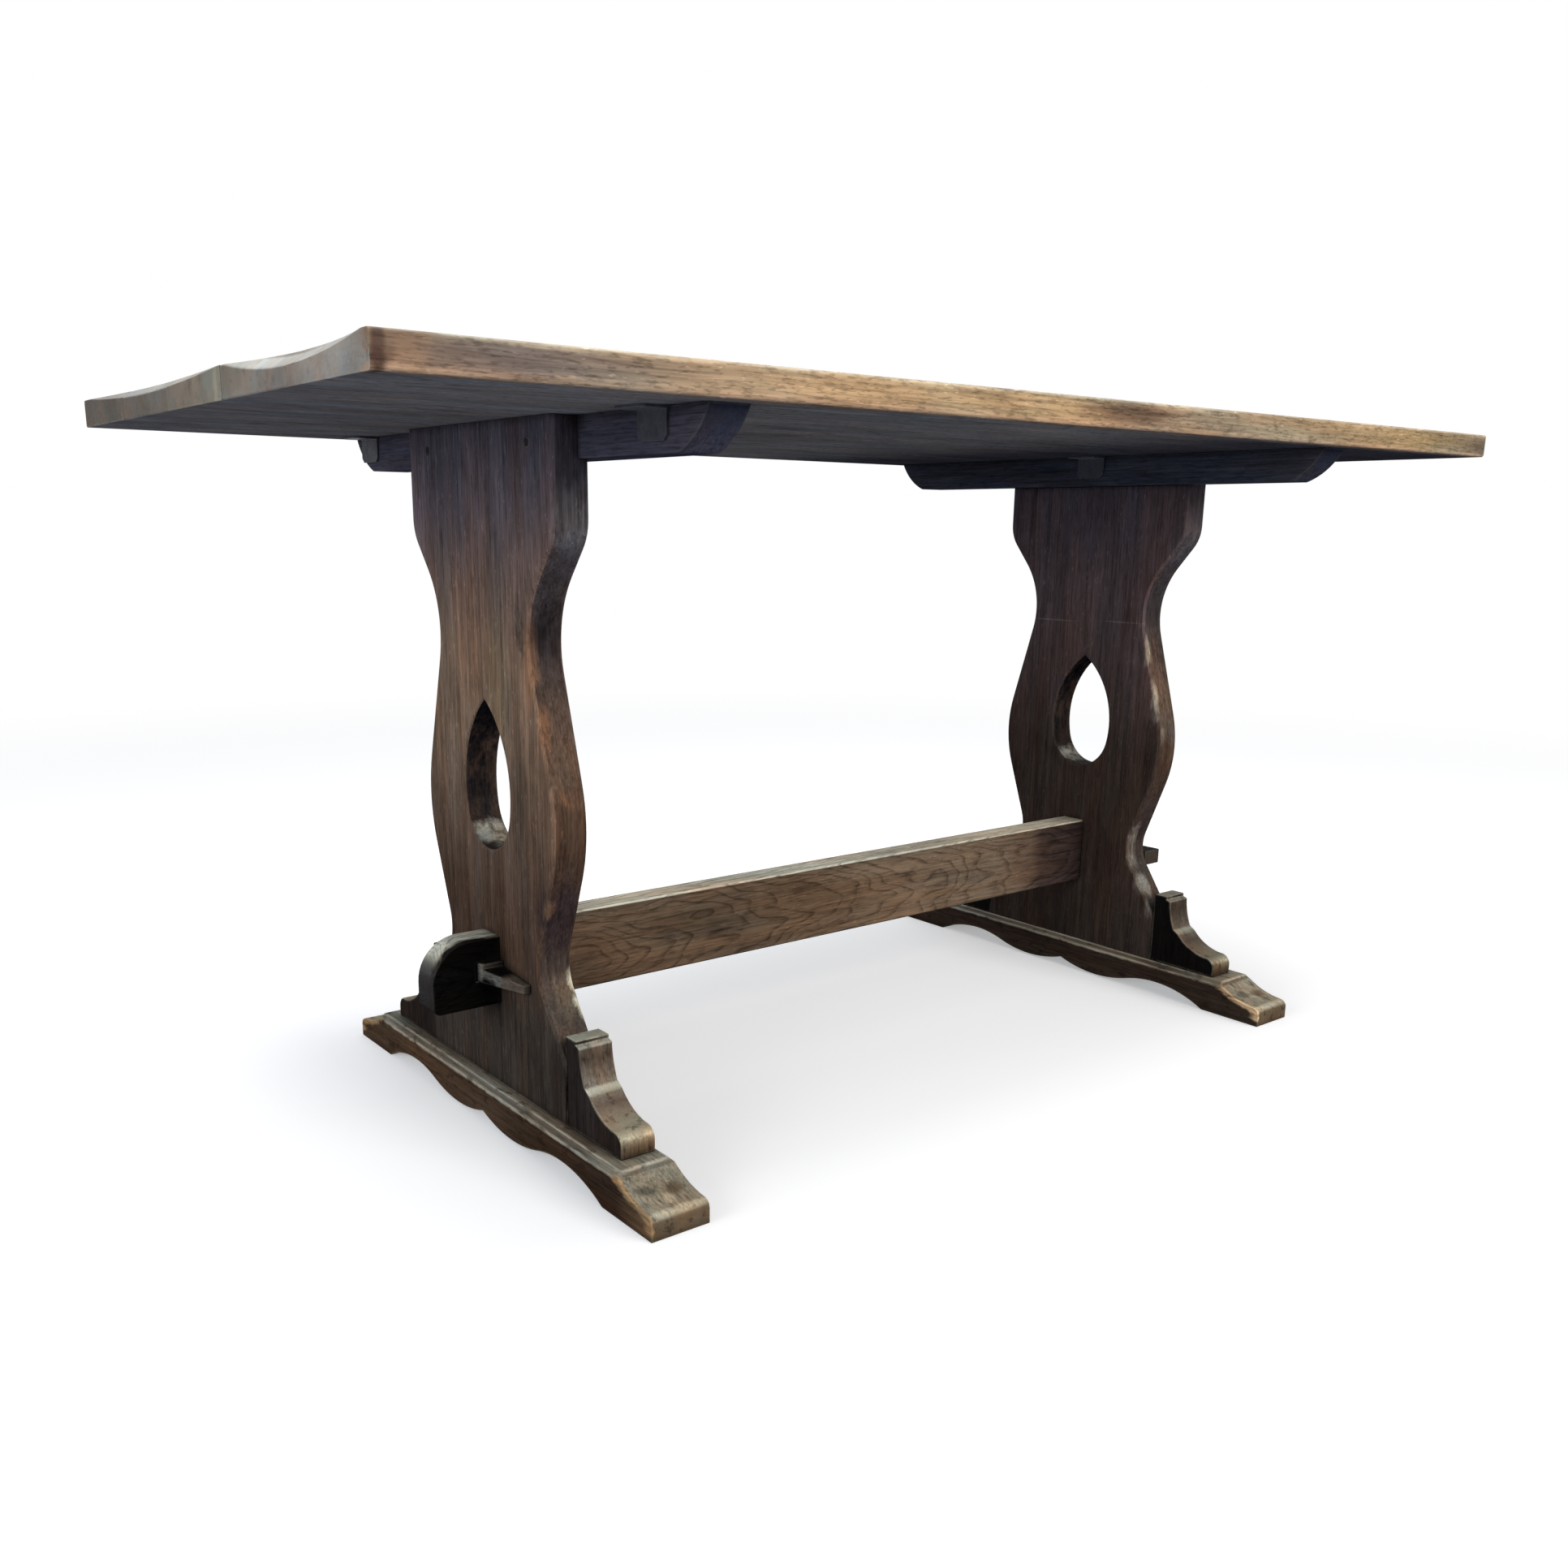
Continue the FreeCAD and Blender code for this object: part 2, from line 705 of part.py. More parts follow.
def sledge_foot(side_name, side):
    """Sledge foot with shaped toes, a scalloped underside and run-out chamfers."""
    label = f"sledge_foot_{side_name}"
    half = size("foot_length") / 2
    pad_edge = half - size("pad_length")
    lobe_edge = pad_edge - size("hollow_span")
    flat_end = half - size("toe_flat")
    nose = size("toe_nose") - size("toe_round")
    brow = half - size("toe_round")
    cusp = line_to(0, size("cusp_height"))
    lobe = bulge_to(cusp, lobe_edge, size("lobe_height"), size("lobe_drop"), ANTICLOCKWISE)
    hollow = bulge_to(lobe, pad_edge, 0, size("hollow_rise"), CLOCKWISE)
    step = line_to(flat_end + size("toe_step") / 2, foot_top - size("toe_step"))
    slope = bulge_to(line_to(brow, size("toe_nose")), step.across, step.up, size("toe_hollow"), CLOCKWISE)
    corners = [
        cusp,
        lobe,
        hollow,
        line_to(half, 0),
        line_to(half, nose),
        arc_to(brow, size("toe_nose"), size("toe_round"), ANTICLOCKWISE),
        slope,
        line_to(flat_end, foot_top),
    ]
    body = new_body(f"{label}_body")
    side_view = sketch_on(body, "YZ_Plane", f"{label}_side")
    outline(side_view, mirrored(corners))
    pad(body, side_view, f"{label}_bar", size("foot_width"))

    def top_arris(edge):
        start, finish = edge.Vertexes[0].Point, edge.Vertexes[-1].Point
        return (near(start.z, foot_top.value) and near(finish.z, foot_top.value)
                and near(start.x, finish.x))
    soften(body, "Chamfer", f"{label}_chamfer", top_arris, size("foot_arris"))

    clearance = size("joint_clearance")
    slab_line = -(size("foot_set_out") * side)
    mortises = sketch_on(body, "XY_Plane", f"{label}_mortises", foot_top)
    for end_name, end in ENDS:
        middle = size("slab_tenon_offset") * end
        wide = size("slab_tenon_width") / 2 + clearance
        thick = size("slab_tenon_thickness") / 2 + clearance
        outline(mortises, rectangle(slab_line - thick, slab_line + thick, middle - wide, middle + wide))
    pocket(body, mortises, f"{label}_mortise_cut", size("slab_tenon_depth") + clearance)
    put(body, (size("trestle_offset") + size("foot_set_out")) * side)
    keep(body, label)


def foot_bracket(side_name, side, end_name, end):
    """Ogee bracket that fills the corner between the slab's edge and the foot."""
    label = f"foot_bracket_{side_name}_{end_name}"
    length = size("bracket_length")
    brow = line_to(length - size("bracket_brow_length"), size("bracket_brow"))
    nose = line_to(length, size("bracket_nose"))
    ledge = line_to(size("bracket_ledge_length"), size("bracket_ledge_height"))
    face = line_to(size("bracket_face_length"), size("bracket_face_height"))
    cap = line_to(size("bracket_cap_length"), size("bracket_cap_height"))
    cap_back = size("bracket_cap_length") - size("bracket_cap_step")
    corners = [
        line_to(0, 0),
        line_to(length, 0),
        nose,
        bulge_to(nose, brow.across, brow.up, size("bracket_brow_round"), ANTICLOCKWISE),
        bulge_to(brow, ledge.across, ledge.up, size("bracket_sweep"), CLOCKWISE),
        face,
        bulge_to(face, cap.across, cap.up, size("bracket_face_hollow"), CLOCKWISE),
        line_to(cap_back, size("bracket_cap_height") + size("bracket_arris")),
        line_to(cap_back, size("bracket_height")),
        line_to(0, size("bracket_height")),
    ]
    body = new_body(f"{label}_body")
    side_view = sketch_on(body, "YZ_Plane", f"{label}_side")
    outline(side_view, corners)
    pad(body, side_view, f"{label}_board", size("slab_thickness"))
    hole = sketch_on(body, "XZ_Plane", f"{label}_hole")
    small_round(hole, 0, size("dowel_rise"), size("dowel_diameter") + size("joint_clearance"))
    pocket(body, hole, f"{label}_hole_cut", size("dowel_length") / 2 + size("joint_clearance"))
    put(body, size("trestle_offset") * side, slab_half * end, foot_top,
        degrees=0 if end == BACK else 180)
    keep(body, label)


def bracket_dowels(side_name, side):
    """The dowels that hold one trestle's two brackets to the slab's edges."""
    solids = []
    for end_name, end in ENDS:
        dowel = small_rod(f"dowel_{side_name}_{end_name}", size("dowel_diameter"), size("dowel_length"))
        put(dowel, size("trestle_offset") * side, slab_half * end - size("dowel_length") / 2,
            foot_top + size("dowel_rise"), "x", -90)
        solids.append(dowel)
    keep(group(f"dowels_{side_name}", solids), f"bracket_dowels_{side_name}")


def group(name, solids):
    """Several separate solids kept as one piece."""
    compound = doc.addObject("Part::Compound", name)
    compound.Links = solids
    return compound


# Bearers and their screws

def bearer(side_name, side):
    """Cross bearer under the top, let into the slab's inner face, its ends rounded below."""
    label = f"bearer_{side_name}"
    half = size("bearer_length") / 2
    lower = line_to(half - size("bearer_run_in"), bearer_bottom)
    corners = [
        lower,
        bulge_to(lower, half, top_underside, size("bearer_bulge"), ANTICLOCKWISE),
    ]
    body = new_body(f"{label}_body")
    side_view = sketch_on(body, "YZ_Plane", f"{label}_side")
    outline(side_view, mirrored(corners))
    pad(body, side_view, f"{label}_bar", size("bearer_thickness"))
    clearance = size("joint_clearance")
    bite = size("bearer_screw_length") + size("plug_depth") - size("slab_thickness") + size("housing_depth")
    holes = sketch_on(body, "YZ_Plane", f"{label}_screw_holes", size("bearer_thickness") / 2 * side)
    for end_name, end in ENDS:
        small_round(holes, size("bearer_screw_spread") / 2 * end, top_underside - size("bearer_screw_drop"),
                    size("bearer_screw_diameter") + clearance)
    pocket(body, holes, f"{label}_screw_hole_cut", bite + clearance, reverse=side == LEFT)
    for plate in plates(side):
        sketch = sketch_on(body, "YZ_Plane", f"{label}_{plate.word}_holes",
                           size("bearer_thickness") / 2 * plate.outward)
        for end_name, end in ENDS:
            small_round(sketch, plate.across + size("plate_screw_spread") / 2 * end,
                        top_underside - size("plate_screw_drop"), size("plate_screw_diameter") + clearance)
        pocket(body, sketch, f"{label}_{plate.word}_hole_cut",
               size("plate_screw_length") - size("plate_thickness") + clearance,
               reverse=plate.outward < 0)
    put(body, (size("trestle_offset") - bearer_shift) * side)
    keep(body, label)


def screw(name, length, diameter, head):
    """Screw with its point down and the flat of its head at the origin."""
    top = small_rod(f"{name}_head", head, (head - diameter) / 2)
    put(top, z=-((head - diameter) / 2))
    shank = small_rod(f"{name}_shank", diameter, length)
    put(shank, z=-length)
    whole = doc.addObject("Part::MultiFuse", name)
    whole.Shapes = [top, shank]
    return whole


def bearer_screws(side_name, side):
    """The two screws that draw the bearer into its housing, and the plugs over them."""
    screws = []
    plugs = []
    height = top_underside - size("bearer_screw_drop")
    for end_name, end in ENDS:
        across = size("bearer_screw_spread") / 2 * end
        one = screw(f"bearer_screw_{side_name}_{end_name}", size("bearer_screw_length"),
                    size("bearer_screw_diameter"), size("bearer_screw_head"))
        put(one, (slab_outer - size("plug_depth")) * side, across, height, "y", 90 * side)
        screws.append(one)
        plug = doc.addObject("Part::Cylinder", f"plug_{side_name}_{end_name}")
        bind(plug, "Radius", size("plug_diameter") / 2)
        bind(plug, "Height", size("plug_depth"))
        put(plug, slab_outer * side, across, height, "y", -90 * side)
        plugs.append(plug)
    keep(group(f"screws_{side_name}", screws), f"bearer_screws_{side_name}")
    keep(group(f"plugs_{side_name}", plugs), f"screw_plugs_{side_name}")


# Stretcher and keys

def stretcher():
    """Stretcher board on edge, shouldered down to a crowned through tenon at each end."""
    end = slab_outer + size("tenon_reach")
    crown = size("tenon_crown_radius")
    heel = size("tenon_heel_radius")
    corners = [
        line_to(slab_inner, size("stretcher_top") - size("stretcher_height")),
        line_to(slab_inner, tenon_bottom),
        line_to(end - heel, tenon_bottom),
        arc_to(end, tenon_bottom + heel, heel, ANTICLOCKWISE),
        line_to(end, tenon_top - crown),
        arc_to(end - crown, tenon_top, crown, ANTICLOCKWISE),
        line_to(slab_inner, tenon_top),
        line_to(slab_inner, size("stretcher_top")),
    ]
    body = new_body("stretcher_body")
    side_view = sketch_on(body, "XZ_Plane", "stretcher_side")
    outline(side_view, mirrored(corners))
    pad(body, side_view, "stretcher_board", size("stretcher_thickness"))

    def long_arris(edge):
        start, finish = edge.Vertexes[0].Point, edge.Vertexes[-1].Point
        level = near(start.z, finish.z) and near(start.y, finish.y)
        heights = (size("stretcher_top").value, (size("stretcher_top") - size("stretcher_height")).value)
        return level and any(near(start.z, height) for height in heights)
    soften(body, "Chamfer", "stretcher_worn_edge", long_arris, size("stretcher_arris"))
    mortises = sketch_on(body, "XZ_Plane", "key_mortises")
    half = size("key_mortise_height") / 2
    inner = slab_outer - size("key_mortise_inset")
    outer = slab_outer + size("key_mortise_length")
    outline(mortises, rectangle(inner, outer, key_mortise_middle - half, key_mortise_middle + half))
    outline(mortises, rectangle(-outer, -inner, key_mortise_middle - half, key_mortise_middle + half))
    pocket(body, mortises, "key_mortise_cut", size("stretcher_thickness") + size("overrun"), both_ways=True)
    keep(body, "stretcher")


def tenon_key(side_name, side):
    """Tapered key that bears on the slab and wedges in the tenon, its tail pared thin.

    The left key is driven in from the back, and the right key from the front.
    """
    gap = size("key_clearance")
    tenon_face = size("stretcher_thickness") / 2
    near_face = -(slab_outer + gap)
    thick = size("key_mortise_length") - gap * 2
    butt = tenon_face + size(f"{side_name}_key_butt_reach")
    body_end = -(tenon_face + size("key_body_reach"))
    tip = -(tenon_face + size("key_tail_reach"))
    plan = [
        line_to(near_face, tip),
        line_to(near_face - size("key_tip_thickness"), tip),
        line_to(near_face - (thick - size("key_taper")), body_end),
        line_to(near_face - thick, tenon_face),
        line_to(near_face - (thick + size("key_taper")), butt),
        line_to(near_face, butt),
    ]
    body = new_body(f"tenon_key_{side_name}_body")
    below = key_mortise_middle - size("key_mortise_height") / 2 + gap
    height = size("key_mortise_height") - gap * 2
    sketch = sketch_on(body, "XY_Plane", f"tenon_key_{side_name}_plan", below)
    outline(sketch, plan)
    pad(body, sketch, f"tenon_key_{side_name}_block", height, both_ways=False)
    waste = sketch_on(body, "YZ_Plane", f"tenon_key_{side_name}_waste", near_face)
    outline(waste, [
        line_to(tip - size("overrun"), below + size("key_tip_height")),
        line_to(tip, below + size("key_tip_height")),
        line_to(body_end, below + size("key_tail_height")),
        line_to(body_end, below + height + size("overrun")),
        line_to(tip - size("overrun"), below + height + size("overrun")),
    ])
    pocket(body, waste, f"tenon_key_{side_name}_pared", size("key_mortise_length") * 2 + size("overrun"),
           both_ways=True)
    put(body, degrees=0 if side == LEFT else 180)
    keep(body, f"tenon_key_{side_name}")


# Angle plates

def angle_plate(label, x, y, turn):
    """Folded steel plate: one leaf on the bearer, the other under the top."""
    thick = size("plate_thickness")
    leaf = size("plate_leaf")
    body = new_body(f"{label}_body")
    section = sketch_on(body, "XZ_Plane", f"{label}_section")
    outline(section, [
        line_to(0, 0),
        line_to(0, -leaf),
        line_to(thick, -leaf),
        line_to(thick, -thick),
        line_to(leaf, -thick),
        line_to(leaf, 0),
    ])
    pad(body, section, f"{label}_fold", size("plate_width"))

    def free_corner(edge):
        """Edges through the thickness at the outer corners of both leaves."""
        start, finish = edge.Vertexes[0].Point, edge.Vertexes[-1].Point
        at_end = (near(start.z, -leaf.value) and near(finish.z, -leaf.value)
                  or near(start.x, leaf.value) and near(finish.x, leaf.value))
        return near(start.y, finish.y) and at_end
    soften(body, "Chamfer", f"{label}_corners", free_corner, size("plate_corner"))
    for word, role in (("upright", "YZ_Plane"), ("level", "XY_Plane")):
        holes = sketch_on(body, role, f"{label}_{word}_holes", thick if word == "upright" else 0)
        for end_name, end in ENDS:
            across = size("plate_screw_spread") / 2 * end
            drop = size("plate_screw_drop")
            spot = (across, -drop) if word == "upright" else (drop, across)
            small_round(holes, spot[0], spot[1], size("plate_screw_head") + size("joint_clearance"))
        pocket(body, holes, f"{label}_{word}_cut", thick)
    put(body, x, y, top_underside, degrees=turn)
    keep(body, label)


def trestle_plates(side_name, side):
    """The three angle plates on one bearer, with four screws each."""
    screws = []
    for plate in plates(side):
        label = f"angle_plate_{side_name}_{plate.word}"
        angle_plate(label, plate.plane, plate.across, 0 if plate.outward > 0 else 180)
        for end_name, end in ENDS:
            across = plate.across + size("plate_screw_spread") / 2 * end
            flat = screw(f"{label}_{end_name}_side_screw", size("plate_screw_length"),
                         size("plate_screw_diameter"), size("plate_screw_head"))
            put(flat, plate.plane + size("plate_thickness") * plate.outward, across,
                top_underside - size("plate_screw_drop"), "y", 90 * plate.outward)
            rising = screw(f"{label}_{end_name}_top_screw", size("plate_screw_length"),
                           size("plate_screw_diameter"), size("plate_screw_head"))
            put(rising, plate.plane + size("plate_screw_drop") * plate.outward, across,
                top_underside - size("plate_thickness"), "x", 180)
            screws += [flat, rising]
    keep(group(f"plate_screw_group_{side_name}", screws), f"plate_screws_{side_name}")


def build():
    tools = doc.addObject("Part::MultiFuse", "top_cuts")
    tools.Shapes = scoop_tools() + pilot_holes()
    for number in range(1, PLANKS + 1):
        top_plank(number, tools)
    for number in range(1, PLANKS):
        plank_tongue(number, tools)
    for side_name, side in SIDES:
        end_slab(side_name, side)
        sledge_foot(side_name, side)
        for end_name, end in ENDS:
            foot_bracket(side_name, side, end_name, end)
        bracket_dowels(side_name, side)
        bearer(side_name, side)
        bearer_screws(side_name, side)
        trestle_plates(side_name, side)
        tenon_key(side_name, side)
    stretcher()
    doc.recompute()


def check_and_write():
    """Stops if anything failed, then writes one file for each piece."""
    for thing in doc.Objects:
        if "Invalid" in thing.State or "Error" in thing.State:
            raise ValueError(f"{thing.Label} failed: {thing.State}")
    for piece in pieces:
        if piece.Shape.isNull() or not piece.Shape.isValid():
            raise ValueError(f"{piece.Label} has no sound shape")
    os.makedirs("parts", exist_ok=True)
    for piece in pieces:
        piece.Shape.exportStep(f"parts/{piece.Label}.step")
        print(piece.Label, len(piece.Shape.Solids), "solids", round(piece.Shape.Volume), "mm3")


build()
check_and_write()
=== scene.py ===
# %% [markdown]
# # An old oak refectory table
# The real table is dark oak, waxed and worn: a planked top on two pierced end slabs with
# sledge feet, and one stretcher held by loose keys. The CAD model already has every piece at
# its true size, so this lesson gives those pieces their finish: softened edges, grain that
# runs the right way in each board, stain, wear and dull steel.

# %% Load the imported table
import bpy
import math
from collections import namedtuple
from mathutils import Matrix, Vector


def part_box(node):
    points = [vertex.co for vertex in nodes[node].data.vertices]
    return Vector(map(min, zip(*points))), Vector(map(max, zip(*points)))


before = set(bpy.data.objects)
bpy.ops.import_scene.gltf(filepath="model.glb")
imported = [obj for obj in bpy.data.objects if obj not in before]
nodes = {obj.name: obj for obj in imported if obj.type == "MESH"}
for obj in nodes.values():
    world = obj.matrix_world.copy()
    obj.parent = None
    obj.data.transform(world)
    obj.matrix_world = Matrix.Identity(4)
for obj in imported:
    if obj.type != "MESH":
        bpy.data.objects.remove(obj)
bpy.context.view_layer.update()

# %% [markdown]
# ## Where the camera stands
# A camera can be placed by eye, but straight edges give it away. Here its place and lens were
# worked out from the table's own corners, so the table falls on the same spot of the picture
# as on the photograph. Yaw turns the camera to the right, pitch tips it down, and the small
# shift is the part of the picture that was cut away.

# %% Camera
PICTURE = 1932
FOCAL = 1707.65
CENTRE_ACROSS, CENTRE_DOWN = 914.74, 1074.25
YAW, PITCH, ROLL = math.radians(37.53), math.radians(-13.97), math.radians(0.544)
STAND = (-1.14741, -1.28859, 0.63536)
FILM_WIDTH = 36
NEAREST = 0.05

camera_data = bpy.data.cameras.new("camera")
camera = bpy.data.objects.new("camera", camera_data)
bpy.context.scene.collection.objects.link(camera)
bpy.context.scene.camera = camera
camera_data.sensor_width = FILM_WIDTH
camera_data.lens = FOCAL / PICTURE * camera_data.sensor_width
camera_data.shift_x = 0.5 - CENTRE_ACROSS / PICTURE
camera_data.shift_y = CENTRE_DOWN / PICTURE - 0.5
camera_data.clip_start = NEAREST

ahead = Vector((math.sin(YAW) * math.cos(PITCH), math.cos(YAW) * math.cos(PITCH), math.sin(PITCH)))
level = Vector((math.cos(YAW), -math.sin(YAW), 0))
upright = level.cross(ahead)
right = level * math.cos(ROLL) + upright * math.sin(ROLL)
up = upright * math.cos(ROLL) - level * math.sin(ROLL)
turn = Matrix((right, up, -ahead)).transposed().to_4x4()
camera.matrix_world = Matrix.Translation(STAND) @ turn
print("lens", round(camera_data.lens, 2), "mm")

# %% [markdown]
# ## Floor and light
# The table stands on a plain white floor. Seen by the camera the floor is almost pure white
# and still takes the table's shadow, while the light that it throws back at the wood is that
# of a grey floor, so that the underside stays as dark as it is in a room.

# %% Shader helpers
def shader_tree(owner):
    """The empty node tree of a material or of the world."""
    owner.use_nodes = True
    owner.node_tree.nodes.clear()
    return owner.node_tree


def join(tree, source, target):
    """Feeds a number, a colour or another node's output into an input."""
    if isinstance(source, bpy.types.NodeSocket):
        tree.links.new(source, target)
    elif isinstance(source, (tuple, list)) and len(source) == 3 and target.type == "RGBA":
        target.default_value = (*source, 1)
    else:
        target.default_value = source


def node(tree, kind, inputs=None, **settings):
    """Adds a node with its settings, and feeds the inputs that are named or numbered."""
    made = tree.nodes.new("ShaderNode" + kind)
    for name, value in settings.items():
        setattr(made, name, value)
    for key, source in (inputs or {}).items():
        join(tree, source, made.inputs[key])
    return made


def sees_background(tree):
    """1 for the rays of the camera, of gloss and of glass, and 0 for light on the table."""
    path = node(tree, "LightPath")
    first = node(tree, "Math", {0: path.outputs["Is Camera Ray"], 1: path.outputs["Is Glossy Ray"]},
                 operation="MAXIMUM")
    both = node(tree, "Math", {0: first.outputs[0], 1: path.outputs["Is Transmission Ray"]},
                operation="MAXIMUM")
    return both.outputs[0]


# %% Floor
FLOOR_REACH = 40
LIT_REACH, WHITE_REACH = 1.4, 4.0
GREY_BOUNCE, PALE_FLOOR, FLOOR_GLOW = (0.16, 0.185, 0.25), (0.86, 0.86, 0.87), 0.36
WHITE = (1, 1, 1)

floor_mesh = bpy.data.meshes.new("floor")
floor_mesh.from_pydata(
    [(x * FLOOR_REACH, y * FLOOR_REACH, 0) for x, y in ((-1, -1), (1, -1), (1, 1), (-1, 1))],
    [], [(0, 1, 2, 3)])
floor = bpy.data.objects.new("floor", floor_mesh)
bpy.context.scene.collection.objects.link(floor)

floor_paint = bpy.data.materials.new("floor")
tree = shader_tree(floor_paint)
bounce = node(tree, "BsdfDiffuse", {"Color": GREY_BOUNCE})
seen = node(tree, "BsdfDiffuse", {"Color": PALE_FLOOR})
lift = node(tree, "Emission", {"Color": WHITE, "Strength": FLOOR_GLOW})
bright = node(tree, "AddShader", {0: seen.outputs[0], 1: lift.outputs[0]})
white = node(tree, "Emission", {"Color": WHITE, "Strength": 1})
place = node(tree, "TexCoord").outputs["Object"]
away = node(tree, "VectorMath", {0: place}, operation="LENGTH").outputs["Value"]
fade = node(tree, "MapRange", {0: away, 1: LIT_REACH, 2: WHITE_REACH},
            interpolation_type="SMOOTHSTEP")
shown = node(tree, "MixShader", {0: fade.outputs[0], 1: bright.outputs[0], 2: white.outputs[0]})
blend = node(tree, "MixShader", {
    0: sees_background(tree), 1: bounce.outputs[0], 2: shown.outputs[0]})
node(tree, "OutputMaterial", {"Surface": blend.outputs[0]})
floor_mesh.materials.append(floor_paint)

# %% World and lamps
SKY, SKY_STRENGTH = (0.86, 0.92, 1.0), 0.42
Lamp = namedtuple("Lamp", "name place aim width height power colour")
LAMPS = [
    Lamp("front_lamp", (0.6, -3.4, 1.9), (0, 0, 0.45), 2.6, 1.6, 95, (1.0, 0.95, 0.88)),
    Lamp("left_lamp", (-3.4, -0.4, 1.3), (0, 0, 0.45), 1.8, 1.6, 42, (0.9, 0.95, 1.0)),
    Lamp("top_lamp", (0, 0.2, 3.2), (0, 0, 0), 3.0, 2.0, 60, (1.0, 0.98, 0.95)),
]
world = bpy.data.worlds.new("studio")
bpy.context.scene.world = world
tree = shader_tree(world)
soft_light = node(tree, "Background", {"Color": SKY, "Strength": SKY_STRENGTH})
backdrop = node(tree, "Background", {"Color": WHITE, "Strength": 1})
blend = node(tree, "MixShader", {
    0: sees_background(tree), 1: soft_light.outputs[0], 2: backdrop.outputs[0]})
node(tree, "OutputWorld", {"Surface": blend.outputs[0]})


def area_lamp(lamp):
    """A soft rectangular lamp that faces its aim."""
    data = bpy.data.lights.new(lamp.name, "AREA")
    data.shape = "RECTANGLE"
    data.size, data.size_y = lamp.width, lamp.height
    data.energy = lamp.power
    data.color = lamp.colour
    thing = bpy.data.objects.new(lamp.name, data)
    bpy.context.scene.collection.objects.link(thing)
    thing.location = lamp.place
    ahead = Vector(lamp.aim) - Vector(lamp.place)
    thing.rotation_euler = ahead.to_track_quat("-Z", "Y").to_euler()


for lamp in LAMPS:
    area_lamp(lamp)

# %% [markdown]
# ## Oak
# Oak is told by its growth rings, its long dark pores and the way that both follow the board.
# The rings are worked out as in a log: the distance from a tilted line, the pith, gives arches
# on a flat-sawn face, straight lines on an edge and arcs on the end grain, all from one rule.
# Long thin noise adds the streaks and pores. Everything here only darkens or lightens the
# stain that comes later, so one rule of grain serves every board.

# %% Sums and noise
GRAIN_AXES = {"x": "XYZ", "x on edge": "XZY", "y": "YXZ", "z": "ZYX"}
BOARD_SHIFT = 3.7
# how often each kind of noise repeats in a metre, along the grain and across it
REPEATS = {"waver": (5, 14), "breaks": (35, 160), "broad streaks": (4, 120),
           "fine streaks": (12, 420), "specks": (90, 300), "clouds": (5, 16), "spots": (45, 90),
           "hue": (5, 30), "rubbed": (14, 40)}


def calc(tree, operation, first, second=0.0, clamp=False):
    """One sum in the shader."""
    made = node(tree, "Math", {0: first, 1: second}, operation=operation, use_clamp=clamp)
    return made.outputs[0]


def noise(tree, vector, scale, detail, roughness):
    """Cloudy values from 0 to 1, mostly near a half."""
    made = node(tree, "TexNoise", {
        "Vector": vector, "Scale": scale, "Detail": detail, "Roughness": roughness})
    return made.outputs["Fac"]


def slide(tree, value, start, end, low=0.0, high=1.0):
    """Turns the stretch from start to end into low to high, with soft ends."""
    inputs = {0: value, 1: start, 2: end, 3: low, 4: high}
    return node(tree, "MapRange", inputs, interpolation_type="SMOOTHSTEP").outputs[0]


def ramp(tree, factor, stops):
    """Colours picked along a scale from 0 to 1."""
    made = node(tree, "ValToRGB", {"Fac": factor})
    scale = made.color_ramp
    while len(scale.elements) < len(stops):
        scale.elements.new(0.5)
    for element, (place, colour) in zip(scale.elements, stops):
        element.position = place
        element.color = (*colour, 1)
    return made.outputs["Color"]


def mix(tree, factor, first, second, blend_type="MIX"):
    """Blends two colours."""
    made = node(tree, "Mix", data_type="RGBA", blend_type=blend_type)
    join(tree, factor, made.inputs["Factor"])
    join(tree, first, made.inputs[6])
    join(tree, second, made.inputs[7])
    return made.outputs[2]


def board_parts(tree, place, grain, seed):
    """Place in the board: along the grain, across it and through it."""
    split = node(tree, "SeparateXYZ", {0: place}).outputs
    names = GRAIN_AXES[grain]
    along = calc(tree, "ADD", split[names[0]], seed * BOARD_SHIFT)
    return [along, split[names[1]], split[names[2]]]


def stretched(tree, parts, along, across):
    """The board's own coordinates, squeezed by different amounts along and across the grain."""
    return node(tree, "CombineXYZ", {
        0: calc(tree, "MULTIPLY", parts[0], along),
        1: calc(tree, "MULTIPLY", parts[1], across),
        2: calc(tree, "MULTIPLY", parts[2], across),
    }).outputs[0]


def grained(tree, parts, kind, detail, roughness=0.55):
    """Noise that is drawn out along the grain, by the name that REPEATS gives its size."""
    return noise(tree, stretched(tree, parts, *REPEATS[kind]), 1, detail, roughness)


# %% Grain
PORES_ALONG, PORES_ACROSS = 42, 520
# the shares of a year's ring over which its dark line comes and goes
LINE_RISE, LINE_FALL = (0.58, 0.92), (1.0, 0.93)
# the values of the noise between which a break, a pore or a speck comes in
LINE_BREAKS, WHOLE_PORE, WHOLE_SPECK = (0.38, 0.58), (0.5, 0.32), (0.62, 0.72)
PLAIN_SHADE = 1.06
Figure = namedtuple("Figure", "spacing tilt wave rings streaks pores specks blotches pore_run",
                    defaults=(PORES_ALONG,))


